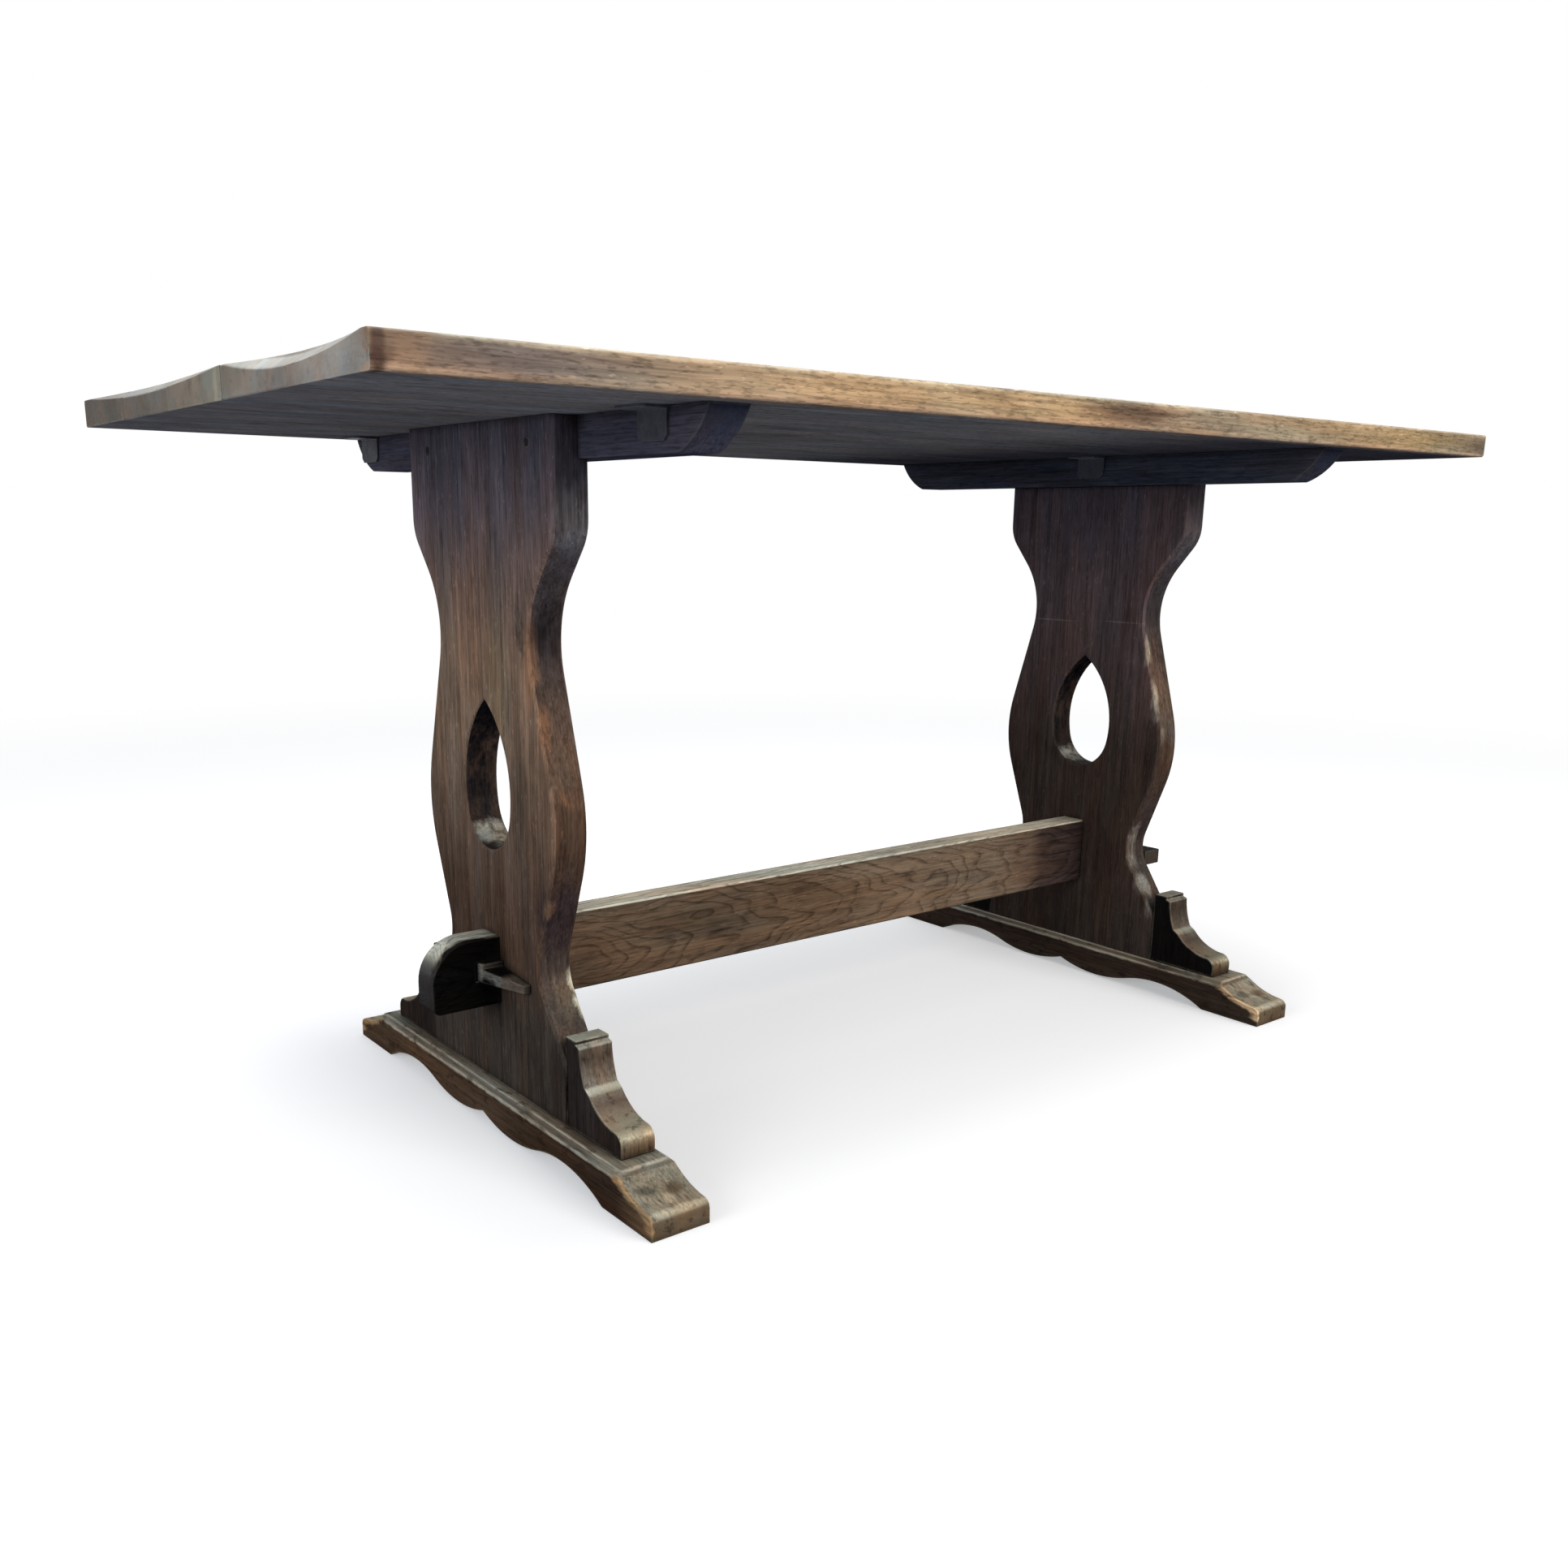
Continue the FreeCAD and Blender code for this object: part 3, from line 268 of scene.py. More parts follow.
def ring_lines(tree, parts, pith, figure):
    """1 in each thin, broken dark line at the end of a year's growth, else 0."""
    slope = calc(tree, "MULTIPLY", parts[0], figure.tilt)
    wave = calc(tree, "MULTIPLY", grained(tree, parts, "waver", 2), figure.wave)
    sideways = calc(tree, "SUBTRACT", parts[1], pith[0])
    inward = calc(tree, "ADD", calc(tree, "SUBTRACT", parts[2], pith[1]), slope)
    square = calc(tree, "ADD", calc(tree, "MULTIPLY", sideways, sideways),
                  calc(tree, "MULTIPLY", inward, inward))
    distance = calc(tree, "ADD", calc(tree, "SQRT", square), wave)
    phase = calc(tree, "FRACT", calc(tree, "DIVIDE", distance, figure.spacing))
    rise = slide(tree, phase, *LINE_RISE)
    fall = slide(tree, phase, *LINE_FALL)
    broken = slide(tree, grained(tree, parts, "breaks", 3, 0.65), *LINE_BREAKS, 0.35)
    return calc(tree, "MULTIPLY", calc(tree, "MULTIPLY", rise, fall), broken)


def grain_shade(tree, parts, along, pith, figure):
    """The factor on the stain (about 1, less in lines and pores), and the pores and lines alone."""
    broad = calc(tree, "SUBTRACT", grained(tree, parts, "broad streaks", 4, 0.6), 0.5)
    fine = calc(tree, "SUBTRACT", grained(tree, parts, "fine streaks", 2, 0.6), 0.5)
    swing = calc(tree, "MULTIPLY", calc(tree, "ADD", broad, fine),
                 calc(tree, "MULTIPLY", figure.streaks, along))
    lines = calc(tree, "MULTIPLY", ring_lines(tree, parts, pith, figure),
                 calc(tree, "MULTIPLY", figure.rings, along))
    pores = noise(tree, stretched(tree, parts, figure.pore_run, PORES_ACROSS), 1, 2, 0.5)
    dashes = slide(tree, pores, *WHOLE_PORE, 0, calc(tree, "MULTIPLY", figure.pores, along))
    specks = grained(tree, parts, "specks", 2, 0.6)
    flecks = slide(tree, specks, *WHOLE_SPECK, 0, calc(tree, "MULTIPLY", figure.specks, along))
    shade = calc(tree, "ADD", calc(tree, "ADD", swing, flecks), PLAIN_SHADE)
    shade = calc(tree, "MULTIPLY", shade, calc(tree, "SUBTRACT", 1.0, lines))
    return calc(tree, "MULTIPLY", shade, calc(tree, "SUBTRACT", 1.0, dashes)), dashes, lines


# %% [markdown]
# ## Stain, wear and marks
# Old oak is never one brown. The stain fades where light and hands reach it, a face that
# looks up is paler than a side, partly rubbed and partly as painted light from above, and knocks
# and drips leave marks in one place only; some marks are painted highlights and shade. So the
# colour is laid on in the order of the surface: the stain along the board, a coat for the faces
# that look one way, single marks, then the grain, the rubbed edges and painted shade in corners.

# %% Stain, coats and marks
STAIN_WANDER = 0.05
MARK_EDGE = (1.15, 0.35)
EDGE_GAIN = 7.0
Along = namedtuple("Along", "axis stops wander", defaults=(STAIN_WANDER,))
Coat = namedtuple("Coat", "axis way start full paint")
Mark = namedtuple("Mark", "centre reach colour strength")


def paint(tree, split, wander, what):
    """A plain colour, or a stain that changes along one axis between places in metres."""
    if not isinstance(what, Along):
        return what
    low, high = what.stops[0][0], what.stops[-1][0]
    where = calc(tree, "ADD", split[what.axis], calc(tree, "MULTIPLY", wander, what.wander))
    share = node(tree, "MapRange", {0: where, 1: low, 2: high}).outputs[0]
    return ramp(tree, share, [((at - low) / (high - low), colour) for at, colour in what.stops])


def facing(tree, axis, way, start, full):
    """1 where a face looks along an axis, 0 where it looks elsewhere; way 0 takes both sides."""
    looks = node(tree, "TexCoord").outputs["Normal"]
    part = node(tree, "SeparateXYZ", {0: looks}).outputs[axis]
    part = calc(tree, "MULTIPLY", part, way) if way else calc(tree, "ABSOLUTE", part)
    return slide(tree, part, start, full)


def marked(tree, place, ragged, mark):
    """1 inside a mark and 0 outside, with a ragged edge."""
    offset = node(tree, "VectorMath", {0: place, 1: mark.centre}, operation="SUBTRACT").outputs[0]
    scaled = node(tree, "VectorMath", {0: offset, 1: mark.reach}, operation="DIVIDE").outputs[0]
    away = node(tree, "VectorMath", {0: scaled}, operation="LENGTH").outputs["Value"]
    return slide(tree, calc(tree, "ADD", away, ragged), *MARK_EDGE, 0, mark.strength)


def edge_mask(tree, reach):
    """1 at an edge and 0 on a flat face."""
    rounded = node(tree, "Bevel", {"Radius": reach}, samples=6).outputs[0]
    surface = node(tree, "NewGeometry").outputs["Normal"]
    agree = node(tree, "VectorMath", {0: rounded, 1: surface}, operation="DOT_PRODUCT")
    differ = calc(tree, "SUBTRACT", 1.0, agree.outputs["Value"])
    return calc(tree, "MULTIPLY", differ, EDGE_GAIN, clamp=True)


# %% Oak
RAGGEDNESS = 1.3
DIRT_SPOTS, RUBBED_PARTS = (0.54, 0.68), (0.36, 0.6)
EDGE_REACH = 0.0035
# Painted shade in corners: how far the ambient occlusion looks, its range and its strength.
CORNER_REACH, CORNER_SHADE, CORNER_PAINTED_SHADE = 0.018, (0.72, 0.4), 0.85
WARM, COOL = (1.08, 0.98, 0.9), (0.94, 1.02, 1.06)
END_GRAIN_CALM = 0.35
# A dark colour for the dirt spots, also used for the painted shade in corners.
DIRT_AND_SHADE = (0.014, 0.011, 0.009)
PALE_EDGE = (0.6, 0.54, 0.42)
RELIEF, RELIEF_DEPTH = 0.4, 0.0005
WAX_ROUGHNESS = 0.4


def oak(name, grain, seed, pith, figure, stain, layers=(), worn=PALE_EDGE, wear=0.5, wax=0.12,
        calm=None):
    """Old stained oak for one piece; the grain fades inside the mark calm."""
    material = bpy.data.materials.new(name)
    tree = shader_tree(material)
    place = node(tree, "TexCoord").outputs["Object"]
    split = node(tree, "SeparateXYZ", {0: place}).outputs
    parts = board_parts(tree, place, grain, seed)
    clouds = grained(tree, parts, "clouds", 3, 0.6)
    wander = calc(tree, "SUBTRACT", clouds, 0.5)
    spots = grained(tree, parts, "spots", 4, 0.65)
    ragged = calc(tree, "MULTIPLY", calc(tree, "SUBTRACT", spots, 0.5), RAGGEDNESS)

    colour = paint(tree, split, wander, stain)
    for layer in layers:
        if isinstance(layer, Mark):
            colour = mix(tree, marked(tree, place, ragged, layer), colour, layer.colour)
        else:
            cover = facing(tree, layer.axis, layer.way, layer.start, layer.full)
            colour = mix(tree, cover, colour, paint(tree, split, wander, layer.paint))

    hue = slide(tree, grained(tree, parts, "hue", 2), 0.3, 0.7)
    colour = mix(tree, 1.0, colour, mix(tree, hue, WARM, COOL), "MULTIPLY")
    end_grain = facing(tree, GRAIN_AXES[grain][0], 0, 0.5, 0.9)
    along = calc(tree, "SUBTRACT", 1.0, calc(tree, "MULTIPLY", end_grain, 1 - END_GRAIN_CALM))
    if calm:
        along = calc(tree, "MULTIPLY", along,
                     calc(tree, "SUBTRACT", 1.0, marked(tree, place, 0, calm)))
    shade, dashes, lines = grain_shade(tree, parts, along, pith, figure)
    patchy = calc(tree, "MULTIPLY", shade, slide(tree, clouds, 0.25, 0.75, 0.76, 1.22))
    colour = node(tree, "VectorMath", {0: colour, "Scale": patchy}, operation="SCALE").outputs[0]
    colour = mix(tree, slide(tree, spots, *DIRT_SPOTS, 0, figure.blotches), colour, DIRT_AND_SHADE)

    rubbed = slide(tree, grained(tree, parts, "rubbed", 4, 0.7), *RUBBED_PARTS)
    bare = calc(tree, "MULTIPLY", calc(tree, "MULTIPLY", edge_mask(tree, EDGE_REACH), rubbed), wear)
    colour = mix(tree, bare, colour, worn)
    # Painted shade: ambient occlusion darkens corners and crevices towards the dark colour.
    open_air = node(tree, "AmbientOcclusion", {"Distance": CORNER_REACH}, samples=4).outputs["AO"]
    colour = mix(tree, slide(tree, open_air, *CORNER_SHADE, 0, CORNER_PAINTED_SHADE), colour, DIRT_AND_SHADE)

    hollows = calc(tree, "ADD", dashes, lines)
    relief = calc(tree, "SUBTRACT", calc(tree, "MULTIPLY", clouds, 2.0), hollows)
    bump = node(tree, "Bump", {"Height": relief, "Strength": RELIEF, "Distance": RELIEF_DEPTH})
    rough = slide(tree, clouds, 0.3, 0.7, 0.6, 0.85)
    looks_up = node(tree, "SeparateXYZ", {0: node(tree, "TexCoord").outputs["Normal"]}).outputs["Z"]
    waxed = slide(tree, looks_up, -0.2, 0.9, 0, wax)
    shader = node(tree, "BsdfPrincipled", {
        "Base Color": colour, "Roughness": rough, "Normal": bump.outputs[0],
        "Specular IOR Level": 0,
        "Coat Weight": calc(tree, "MULTIPLY", waxed, slide(tree, clouds, 0.2, 0.8, 1.2, 0.6)),
        "Coat Roughness": WAX_ROUGHNESS, "Coat Normal": bump.outputs[0]})
    node(tree, "OutputMaterial", {"Surface": shader.outputs[0]})
    return material


# %% [markdown]
# ## Softened edges
# No old edge is sharp. The CAD pieces arrive as flat triangles, so three modifiers work in
# turn: the first joins the loose corners, the second clears the lines inside each flat face,
# and the third rounds every true edge by a millimetre or so. Hidden pieces stay sharp (0).

# %% Edges
SAME_CORNER = 0.00002
SAME_FACE, TRUE_EDGE = math.radians(0.6), math.radians(32)
EASE_STEPS = 3
EASE = {"plank": 0.0015, "slab": 0.0012, "plug": 0.0004, "foot": 0.0022, "bracket": 0.0016,
        "stretcher": 0.0018, "key": 0.0012, "bearer": 0.0016, "plate": 0.0004, "hidden": 0}


def soften(thing, width):
    """Rounds every edge of a CAD piece without touching its own mesh."""
    weld = thing.modifiers.new("joined_corners", "WELD")
    weld.merge_threshold = SAME_CORNER
    clear = thing.modifiers.new("cleared_faces", "DECIMATE")
    clear.decimate_type = "DISSOLVE"
    clear.angle_limit = SAME_FACE
    bevel = thing.modifiers.new("eased_edges", "BEVEL")
    bevel.width = width
    bevel.segments = EASE_STEPS
    bevel.limit_method = "ANGLE"
    bevel.angle_limit = TRUE_EDGE
    bevel.use_clamp_overlap = True


def dress(name, material, kind):
    """Puts a finish on a CAD piece and eases its edges by what suits its kind."""
    thing = nodes[name]
    thing.data.materials.clear()
    thing.data.materials.append(material)
    for face in thing.data.polygons:
        face.material_index = 0
    if EASE[kind]:
        soften(thing, EASE[kind])


def middle(name):
    """The middle of a piece's box."""
    low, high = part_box(name)
    return (low + high) / 2


def touching(name, marks):
    """The marks that reach a piece."""
    low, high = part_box(name)
    return [mark for mark in marks
            if all(start - reach < centre < end + reach
                   for start, end, centre, reach in zip(low, high, mark.centre, mark.reach))]


# %% [markdown]
# ## The top
# The long edge is seen close and in full light: golden oak with short dark pores, rubbed to
# cream along its upper corner and rusty at its left end. The end grain has gone grey, and the
# underside was never waxed. Each plank gets a seed and a pith of its own, so that no two show
# the same figure.

# %% Top stains
LONG_EDGE = Along("X", [
    (-0.760, (0.11, 0.055, 0.042)), (-0.751, (0.14, 0.075, 0.055)), (-0.743, (0.42, 0.26, 0.165)),
    (-0.727, (0.36, 0.235, 0.155)), (-0.715, (0.225, 0.165, 0.13)), (-0.64, (0.22, 0.17, 0.145)),
    (-0.5, (0.36, 0.27, 0.18)), (-0.35, (0.52, 0.375, 0.225)), (-0.08, (0.52, 0.375, 0.215)),
    (0.04, (0.34, 0.23, 0.145)), (0.15, (0.37, 0.28, 0.19)), (0.6, (0.34, 0.26, 0.145)),
    (0.76, (0.17, 0.135, 0.1))], 0.02)
END_GRAIN = Along("Y", [
    (-0.38, (0.34, 0.305, 0.265)), (-0.2, (0.25, 0.215, 0.185)), (-0.06, (0.265, 0.23, 0.18)),
    (0.1, (0.19, 0.163, 0.135)), (0.38, (0.15, 0.12, 0.098))])
# The scooped facets on the top's ends are pale grey-white as a painted highlight.
SCOOPS = Along("Y", [
    (-0.38, (0.3, 0.3, 0.285)), (-0.27, (0.38, 0.38, 0.36)), (-0.17, (0.52, 0.51, 0.48)),
    (-0.09, (0.46, 0.44, 0.39)), (-0.03, (0.32, 0.29, 0.25)), (0.15, (0.36, 0.35, 0.33)),
    (0.38, (0.24, 0.22, 0.2))])
UNDERSIDE = Along("X", [
    (-0.76, (0.37, 0.33, 0.29)), (0.05, (0.38, 0.335, 0.285)), (0.3, (0.115, 0.105, 0.107)),
    (0.76, (0.087, 0.079, 0.082))])
WAXED = [(0.31, 0.2, 0.11), (0.27, 0.17, 0.095), (0.34, 0.22, 0.125), (0.28, 0.18, 0.105),
         (0.32, 0.205, 0.12)]
CREAM, JOINT_LINE = (0.62, 0.5, 0.34), (0.1, 0.066, 0.042)
TOP_FIGURE = Figure(spacing=0.006, tilt=0.03, wave=0.02, rings=0.25, streaks=1.1, pores=0.36,
                    specks=0.5, blotches=0.2, pore_run=95)
PLANKS = 5
PITH_ASIDE, PITH_BELOW = 0.05, 0.09

# %% Top marks
WORN_END = Mark((-0.76, -0.05, 0.762), (0.09, 0.45, 0.04), CREAM, 0.9)
TOP_MARKS = [
    Mark((0, -0.382, 0.762), (3, 0.02, 0.008), CREAM, 0.55),
    Mark((0, -0.382, 0.731), (3, 0.02, 0.009), (0.5, 0.34, 0.225), 0.7),
    Mark((-0.75, -0.382, 0.76), (0.05, 0.02, 0.02), (0.27, 0.17, 0.11), 0.9),
    Mark((-0.754, -0.382, 0.745), (0.006, 0.02, 0.04), (0.1, 0.055, 0.042), 0.8),
    Mark((0.03, -0.38, 0.748), (0.08, 0.02, 0.012), (0.13, 0.08, 0.06), 0.6),
    Mark((-0.62, -0.38, 0.749), (0.14, 0.02, 0.007), (0.13, 0.1, 0.085), 0.4),
    Mark((-0.76, -0.062, 0.745), (0.012, 0.006, 0.03), (0.4, 0.34, 0.23), 0.6),
    Mark((-0.7465, -0.19, 0.757), (0.0035, 0.12, 0.004), (0.16, 0.13, 0.1), 0.75),
]
TOP_MARKS += [Mark((0, joint, 0.76), (1.1, 0.004, 0.005), JOINT_LINE, 0.9)
              for joint in (-0.228, -0.076, 0.076, 0.228)]
print("marks on the top:", len(TOP_MARKS))

# %% Top
for number in range(1, PLANKS + 1):
    name = f"top_plank_{number}"
    centre = middle(name)
    coats = [Coat("X", 0, 0.25, 0.5, END_GRAIN), Coat("Z", 1, 0.15, 0.7, SCOOPS),
             Coat("Z", 1, 0.95, 0.99, WAXED[number - 1]), Coat("Z", -1, 0.5, 0.9, UNDERSIDE)]
    pith = (centre.y + PITH_ASIDE * (-1) ** number, centre.z - PITH_BELOW)
    material = oak(name, "x", number, pith, TOP_FIGURE, LONG_EDGE,
                   coats + touching(name, TOP_MARKS), worn=CREAM, wear=0.2, wax=0.5, calm=WORN_END)
    dress(name, material, "plank")
for number in range(1, PLANKS):
    name = f"plank_tongue_{number}"
    dress(name, oak(name, "x", number + 10, (0, 0.6), TOP_FIGURE, WAXED[0]), "hidden")
print("planks dressed, marks on the front one:", len(touching("top_plank_1", TOP_MARKS)))

# %% [markdown]
# ## The end slabs
# The slabs are darker than the top. Near the bearers they are painted blue-black, a painted
# shade under the top; lower down the brown comes through in upright streaks, and the edges are
# rubbed to rust or grey where knees and brooms have passed, with painted highlights along some
# arrises. The inside of the pierced drop is painted almost black as shade, with painted light on
# its sill.

# %% Slab stains
# The slab faces darken towards the bottom; towards the top they turn bluer, and the outer face
# darker, as painted shade under the top.
OUTER_FACE = Along("Z", [
    (0.03, (0.055, 0.042, 0.034)), (0.13, (0.062, 0.046, 0.036)), (0.2, (0.091, 0.057, 0.0395)),
    (0.26, (0.1, 0.062, 0.044)), (0.36, (0.16, 0.107, 0.075)), (0.5, (0.264, 0.166, 0.11)),
    (0.58, (0.195, 0.13, 0.105)), (0.65, (0.162, 0.125, 0.132)), (0.71, (0.14, 0.117, 0.132))])
INNER_FACE = Along("Z", [
    (0.03, (0.05, 0.035, 0.028)), (0.15, (0.078, 0.052, 0.04)), (0.24, (0.062, 0.042, 0.033)),
    (0.34, (0.07, 0.047, 0.038)), (0.46, (0.135, 0.09, 0.082)), (0.56, (0.175, 0.12, 0.117)),
    (0.71, (0.18, 0.133, 0.138))])
# The front edge is dark at the waist and blue-grey above it: painted shade under the top.
SLAB_EDGE = Along("Z", [
    (0.03, (0.055, 0.042, 0.035)), (0.14, (0.085, 0.063, 0.05)), (0.24, (0.055, 0.037, 0.034)),
    (0.33, (0.072, 0.043, 0.029)), (0.42, (0.125, 0.08, 0.056)), (0.52, (0.06, 0.046, 0.045)),
    (0.6, (0.09, 0.075, 0.078)), (0.71, (0.12, 0.1, 0.11))])
SLAB_FIGURE = Figure(spacing=0.0075, tilt=0.02, wave=0.012, rings=0.18, streaks=1.4, pores=0.3,
                     specks=0.6, blotches=0.2)
SLAB_WORN = (0.24, 0.18, 0.13)
DROP_SHADE, SILL_LIGHT = (0.009, 0.0095, 0.013), (0.55, 0.51, 0.42)
PLUG_STAIN, BARE_OAK = (0.05, 0.043, 0.045), (0.3, 0.2, 0.12)

# %% Slab marks
RUST = (0.3, 0.155, 0.085)
RUBBED_AND_HIGHLIGHT, NECK_HIGHLIGHT = (0.42, 0.37, 0.29), (0.26, 0.235, 0.2)
PAINTED_HIGHLIGHT, SEAM = (0.85, 0.78, 0.6), (0.004, 0.003, 0.003)
SLAB_MARKS = [
    Mark((-0.494, -0.03, 0.475), (0.02, 0.03, 0.075), (0.27, 0.19, 0.115), 0.6),
    Mark((-0.494, -0.096, 0.5), (0.012, 0.011, 0.06), RUST, 0.65),
    Mark((-0.492, -0.118, 0.452), (0.014, 0.01, 0.035), RUST, 0.7),
    Mark((-0.479, -0.146, 0.389), (0.02, 0.014, 0.026), (0.34, 0.165, 0.085), 0.85),
    # Partly wear and partly painted highlight on the left slab's front arris.
    Mark((-0.492, -0.136, 0.415), (0.01, 0.008, 0.035), RUBBED_AND_HIGHLIGHT, 0.5),
    # Painted shade: near black on the left slab's front edge at the waist.
    Mark((-0.47, -0.086, 0.545), (0.03, 0.024, 0.065), (0.018, 0.015, 0.017), 0.95),
    Mark((-0.47, -0.15, 0.641), (0.024, 0.02, 0.05), (0.2, 0.185, 0.19), 0.75),
    Mark((-0.47, -0.112, 0.26), (0.04, 0.026, 0.05), (0.04, 0.026, 0.027), 0.85),
    Mark((-0.47, -0.108, 0.16), (0.016, 0.02, 0.04), (0.15, 0.115, 0.08), 0.6),
    # Painted highlights: two bright spots on the rounded inner arris of the left slab's front edge.
    Mark((-0.456, -0.098, 0.172), (0.007, 0.012, 0.026), PAINTED_HIGHLIGHT, 1),
    Mark((-0.456, -0.113, 0.148), (0.008, 0.014, 0.022), PAINTED_HIGHLIGHT, 1),
    Mark((-0.494, -0.122, 0.26), (0.012, 0.009, 0.018), (0.24, 0.13, 0.08), 0.7),
    Mark((-0.494, -0.138, 0.085), (0.012, 0.024, 0.055), (0.03, 0.021, 0.019), 0.55),
    # Along the right slab's front arris the pale marks are partly wear and partly painted
    # highlight.
    Mark((0.457, -0.108, 0.495), (0.008, 0.008, 0.045), RUBBED_AND_HIGHLIGHT, 0.8),
    Mark((0.457, -0.126, 0.425), (0.008, 0.01, 0.045), RUBBED_AND_HIGHLIGHT, 0.8),
    Mark((0.462, -0.144, 0.375), (0.012, 0.01, 0.03), RUBBED_AND_HIGHLIGHT, 0.6),
    Mark((0.475, -0.15, 0.4), (0.03, 0.02, 0.08), (0.165, 0.158, 0.15), 0.65),
    # Painted highlight at the foot of the right slab's neck, on its front edge.
    Mark((0.462, -0.105, 0.2), (0.012, 0.01, 0.04), NECK_HIGHLIGHT, 0.7),
    Mark((0.466, -0.124, 0.155), (0.016, 0.013, 0.03), (0.3, 0.275, 0.24), 0.8),
    Mark((0.466, -0.142, 0.122), (0.016, 0.012, 0.022), NECK_HIGHLIGHT, 0.7),
    Mark((0.456, 0.06, 0.509), (0.003, 0.045, 0.0012), RUBBED_AND_HIGHLIGHT, 0.4),
    Mark((0.456, -0.06, 0.512), (0.003, 0.04, 0.0012), RUBBED_AND_HIGHLIGHT, 0.4),
    Mark((0.475, -0.14, 0.62), (0.03, 0.016, 0.05), (0.14, 0.125, 0.13), 0.6),
]
SLAB_MARKS += [Mark((face, -0.1525, 0.08), (0.008, 0.0035, 0.07), SEAM, 1)
               for face in (-0.4945, 0.4555)]
print("marks on the slabs and brackets:", len(SLAB_MARKS))

# %% Slabs
SLAB_SIDES = {"left": (OUTER_FACE, INNER_FACE), "right": (INNER_FACE, OUTER_FACE)}
for seed, side in enumerate(("left", "right"), 21):
    name = f"end_slab_{side}"
    centre = middle(name)
    near_face, far_face = SLAB_SIDES[side]
    # Painted shade inside the pierced drop, and painted light on its sill.
    drop = Mark((centre.x, 0, 0.385), (0.06, 0.075, 0.13), DROP_SHADE, 1)
    sill = Mark((centre.x, 0.004, 0.319), (0.04, 0.045, 0.0135), SILL_LIGHT, 1)
    layers = [drop, sill, Coat("X", -1, 0.35, 0.7, near_face), Coat("X", 1, 0.35, 0.7, far_face)]
    material = oak(name, "z", seed, (centre.y + 0.03, centre.x + 0.16), SLAB_FIGURE, SLAB_EDGE,
                   layers + touching(name, SLAB_MARKS), worn=SLAB_WORN, wear=0.4)
    dress(name, material, "slab")
    plugs = f"screw_plugs_{side}"
    dress(plugs, oak(plugs, "x", seed + 30, (0, 0), SLAB_FIGURE, PLUG_STAIN), "plug")
    dowels = f"bracket_dowels_{side}"
    dress(dowels, oak(dowels, "y", seed + 32, (0, 0), SLAB_FIGURE, BARE_OAK), "hidden")
print("marks on the left slab:", len(touching("end_slab_left", SLAB_MARKS)))

# %% [markdown]
# ## Feet and brackets
# Everything down here that looks up or forwards is pale and blotched, partly where shoes and
# mops have taken the stain off and partly as painted light from the front and above, so the toes
# and the moulded faces of the brackets are pale while their sides stay dark; on the right foot
# and its brackets the sides are painted in shade. The arrises of the foot's ledge show as two
# light lines.

# %% Foot stains
FOOT_SIDE = Along("Y", [
    (-0.33, (0.18, 0.11, 0.06)), (-0.27, (0.05, 0.027, 0.018)), (-0.15, (0.062, 0.036, 0.021)),
    (0.0, (0.093, 0.055, 0.034)), (0.33, (0.1, 0.062, 0.037))])
# Faces that look up are pale, partly where the stain is worn off and partly as painted light from
# above.
FOOT_TREAD = Along("Y", [
    (-0.33, (0.34, 0.285, 0.205)), (-0.27, (0.3, 0.27, 0.205)), (-0.23, (0.23, 0.21, 0.165)),
    (-0.195, (0.12, 0.1, 0.08)), (-0.12, (0.22, 0.185, 0.14)), (0.0, (0.3, 0.255, 0.195)),
    (0.195, (0.2, 0.17, 0.13)), (0.23, (0.23, 0.21, 0.165)),
    (0.27, (0.3, 0.27, 0.205)), (0.33, (0.34, 0.285, 0.205))])
TOE_END, FOOT_SOLE = (0.155, 0.108, 0.067), (0.09, 0.07, 0.055)
# Faces of the brackets that look forwards and up are pale, partly wear and partly painted light.
BRACKET_FACE = Along("Z", [
    (0.046, (0.05, 0.032, 0.022)), (0.056, (0.14, 0.095, 0.056)), (0.0625, (0.28, 0.21, 0.135)),
    (0.0655, (0.52, 0.44, 0.31)), (0.0695, (0.33, 0.28, 0.195)), (0.077, (0.22, 0.165, 0.115)),
    (0.084, (0.13, 0.09, 0.065)), (0.091, (0.19, 0.145, 0.108)), (0.0945, (0.44, 0.4, 0.31)),
    (0.0965, (0.46, 0.42, 0.33)), (0.0985, (0.2, 0.16, 0.12)), (0.11, (0.13, 0.1, 0.075)),
    (0.124, (0.08, 0.057, 0.042)), (0.134, (0.11, 0.08, 0.06)), (0.1362, (0.34, 0.31, 0.25)),
    (0.138, (0.34, 0.31, 0.25)), (0.139, (0.03, 0.024, 0.018)), (0.1408, (0.03, 0.024, 0.018)),
    (0.1415, (0.36, 0.33, 0.26)), (0.142, (0.36, 0.33, 0.26))], 0.002)
BRACKET_SIDE = (0.03, 0.0215, 0.018)
SHADED_SIDE = (0.009, 0.008, 0.0075)
SHADED_FOOT = (0.055, 0.036, 0.026)
FOOT_FIGURE = Figure(spacing=0.008, tilt=0.05, wave=0.03, rings=0.14, streaks=1.2, pores=0.3,
                     specks=0.3, blotches=0.55)
FOOT_WORN = (0.34, 0.28, 0.19)

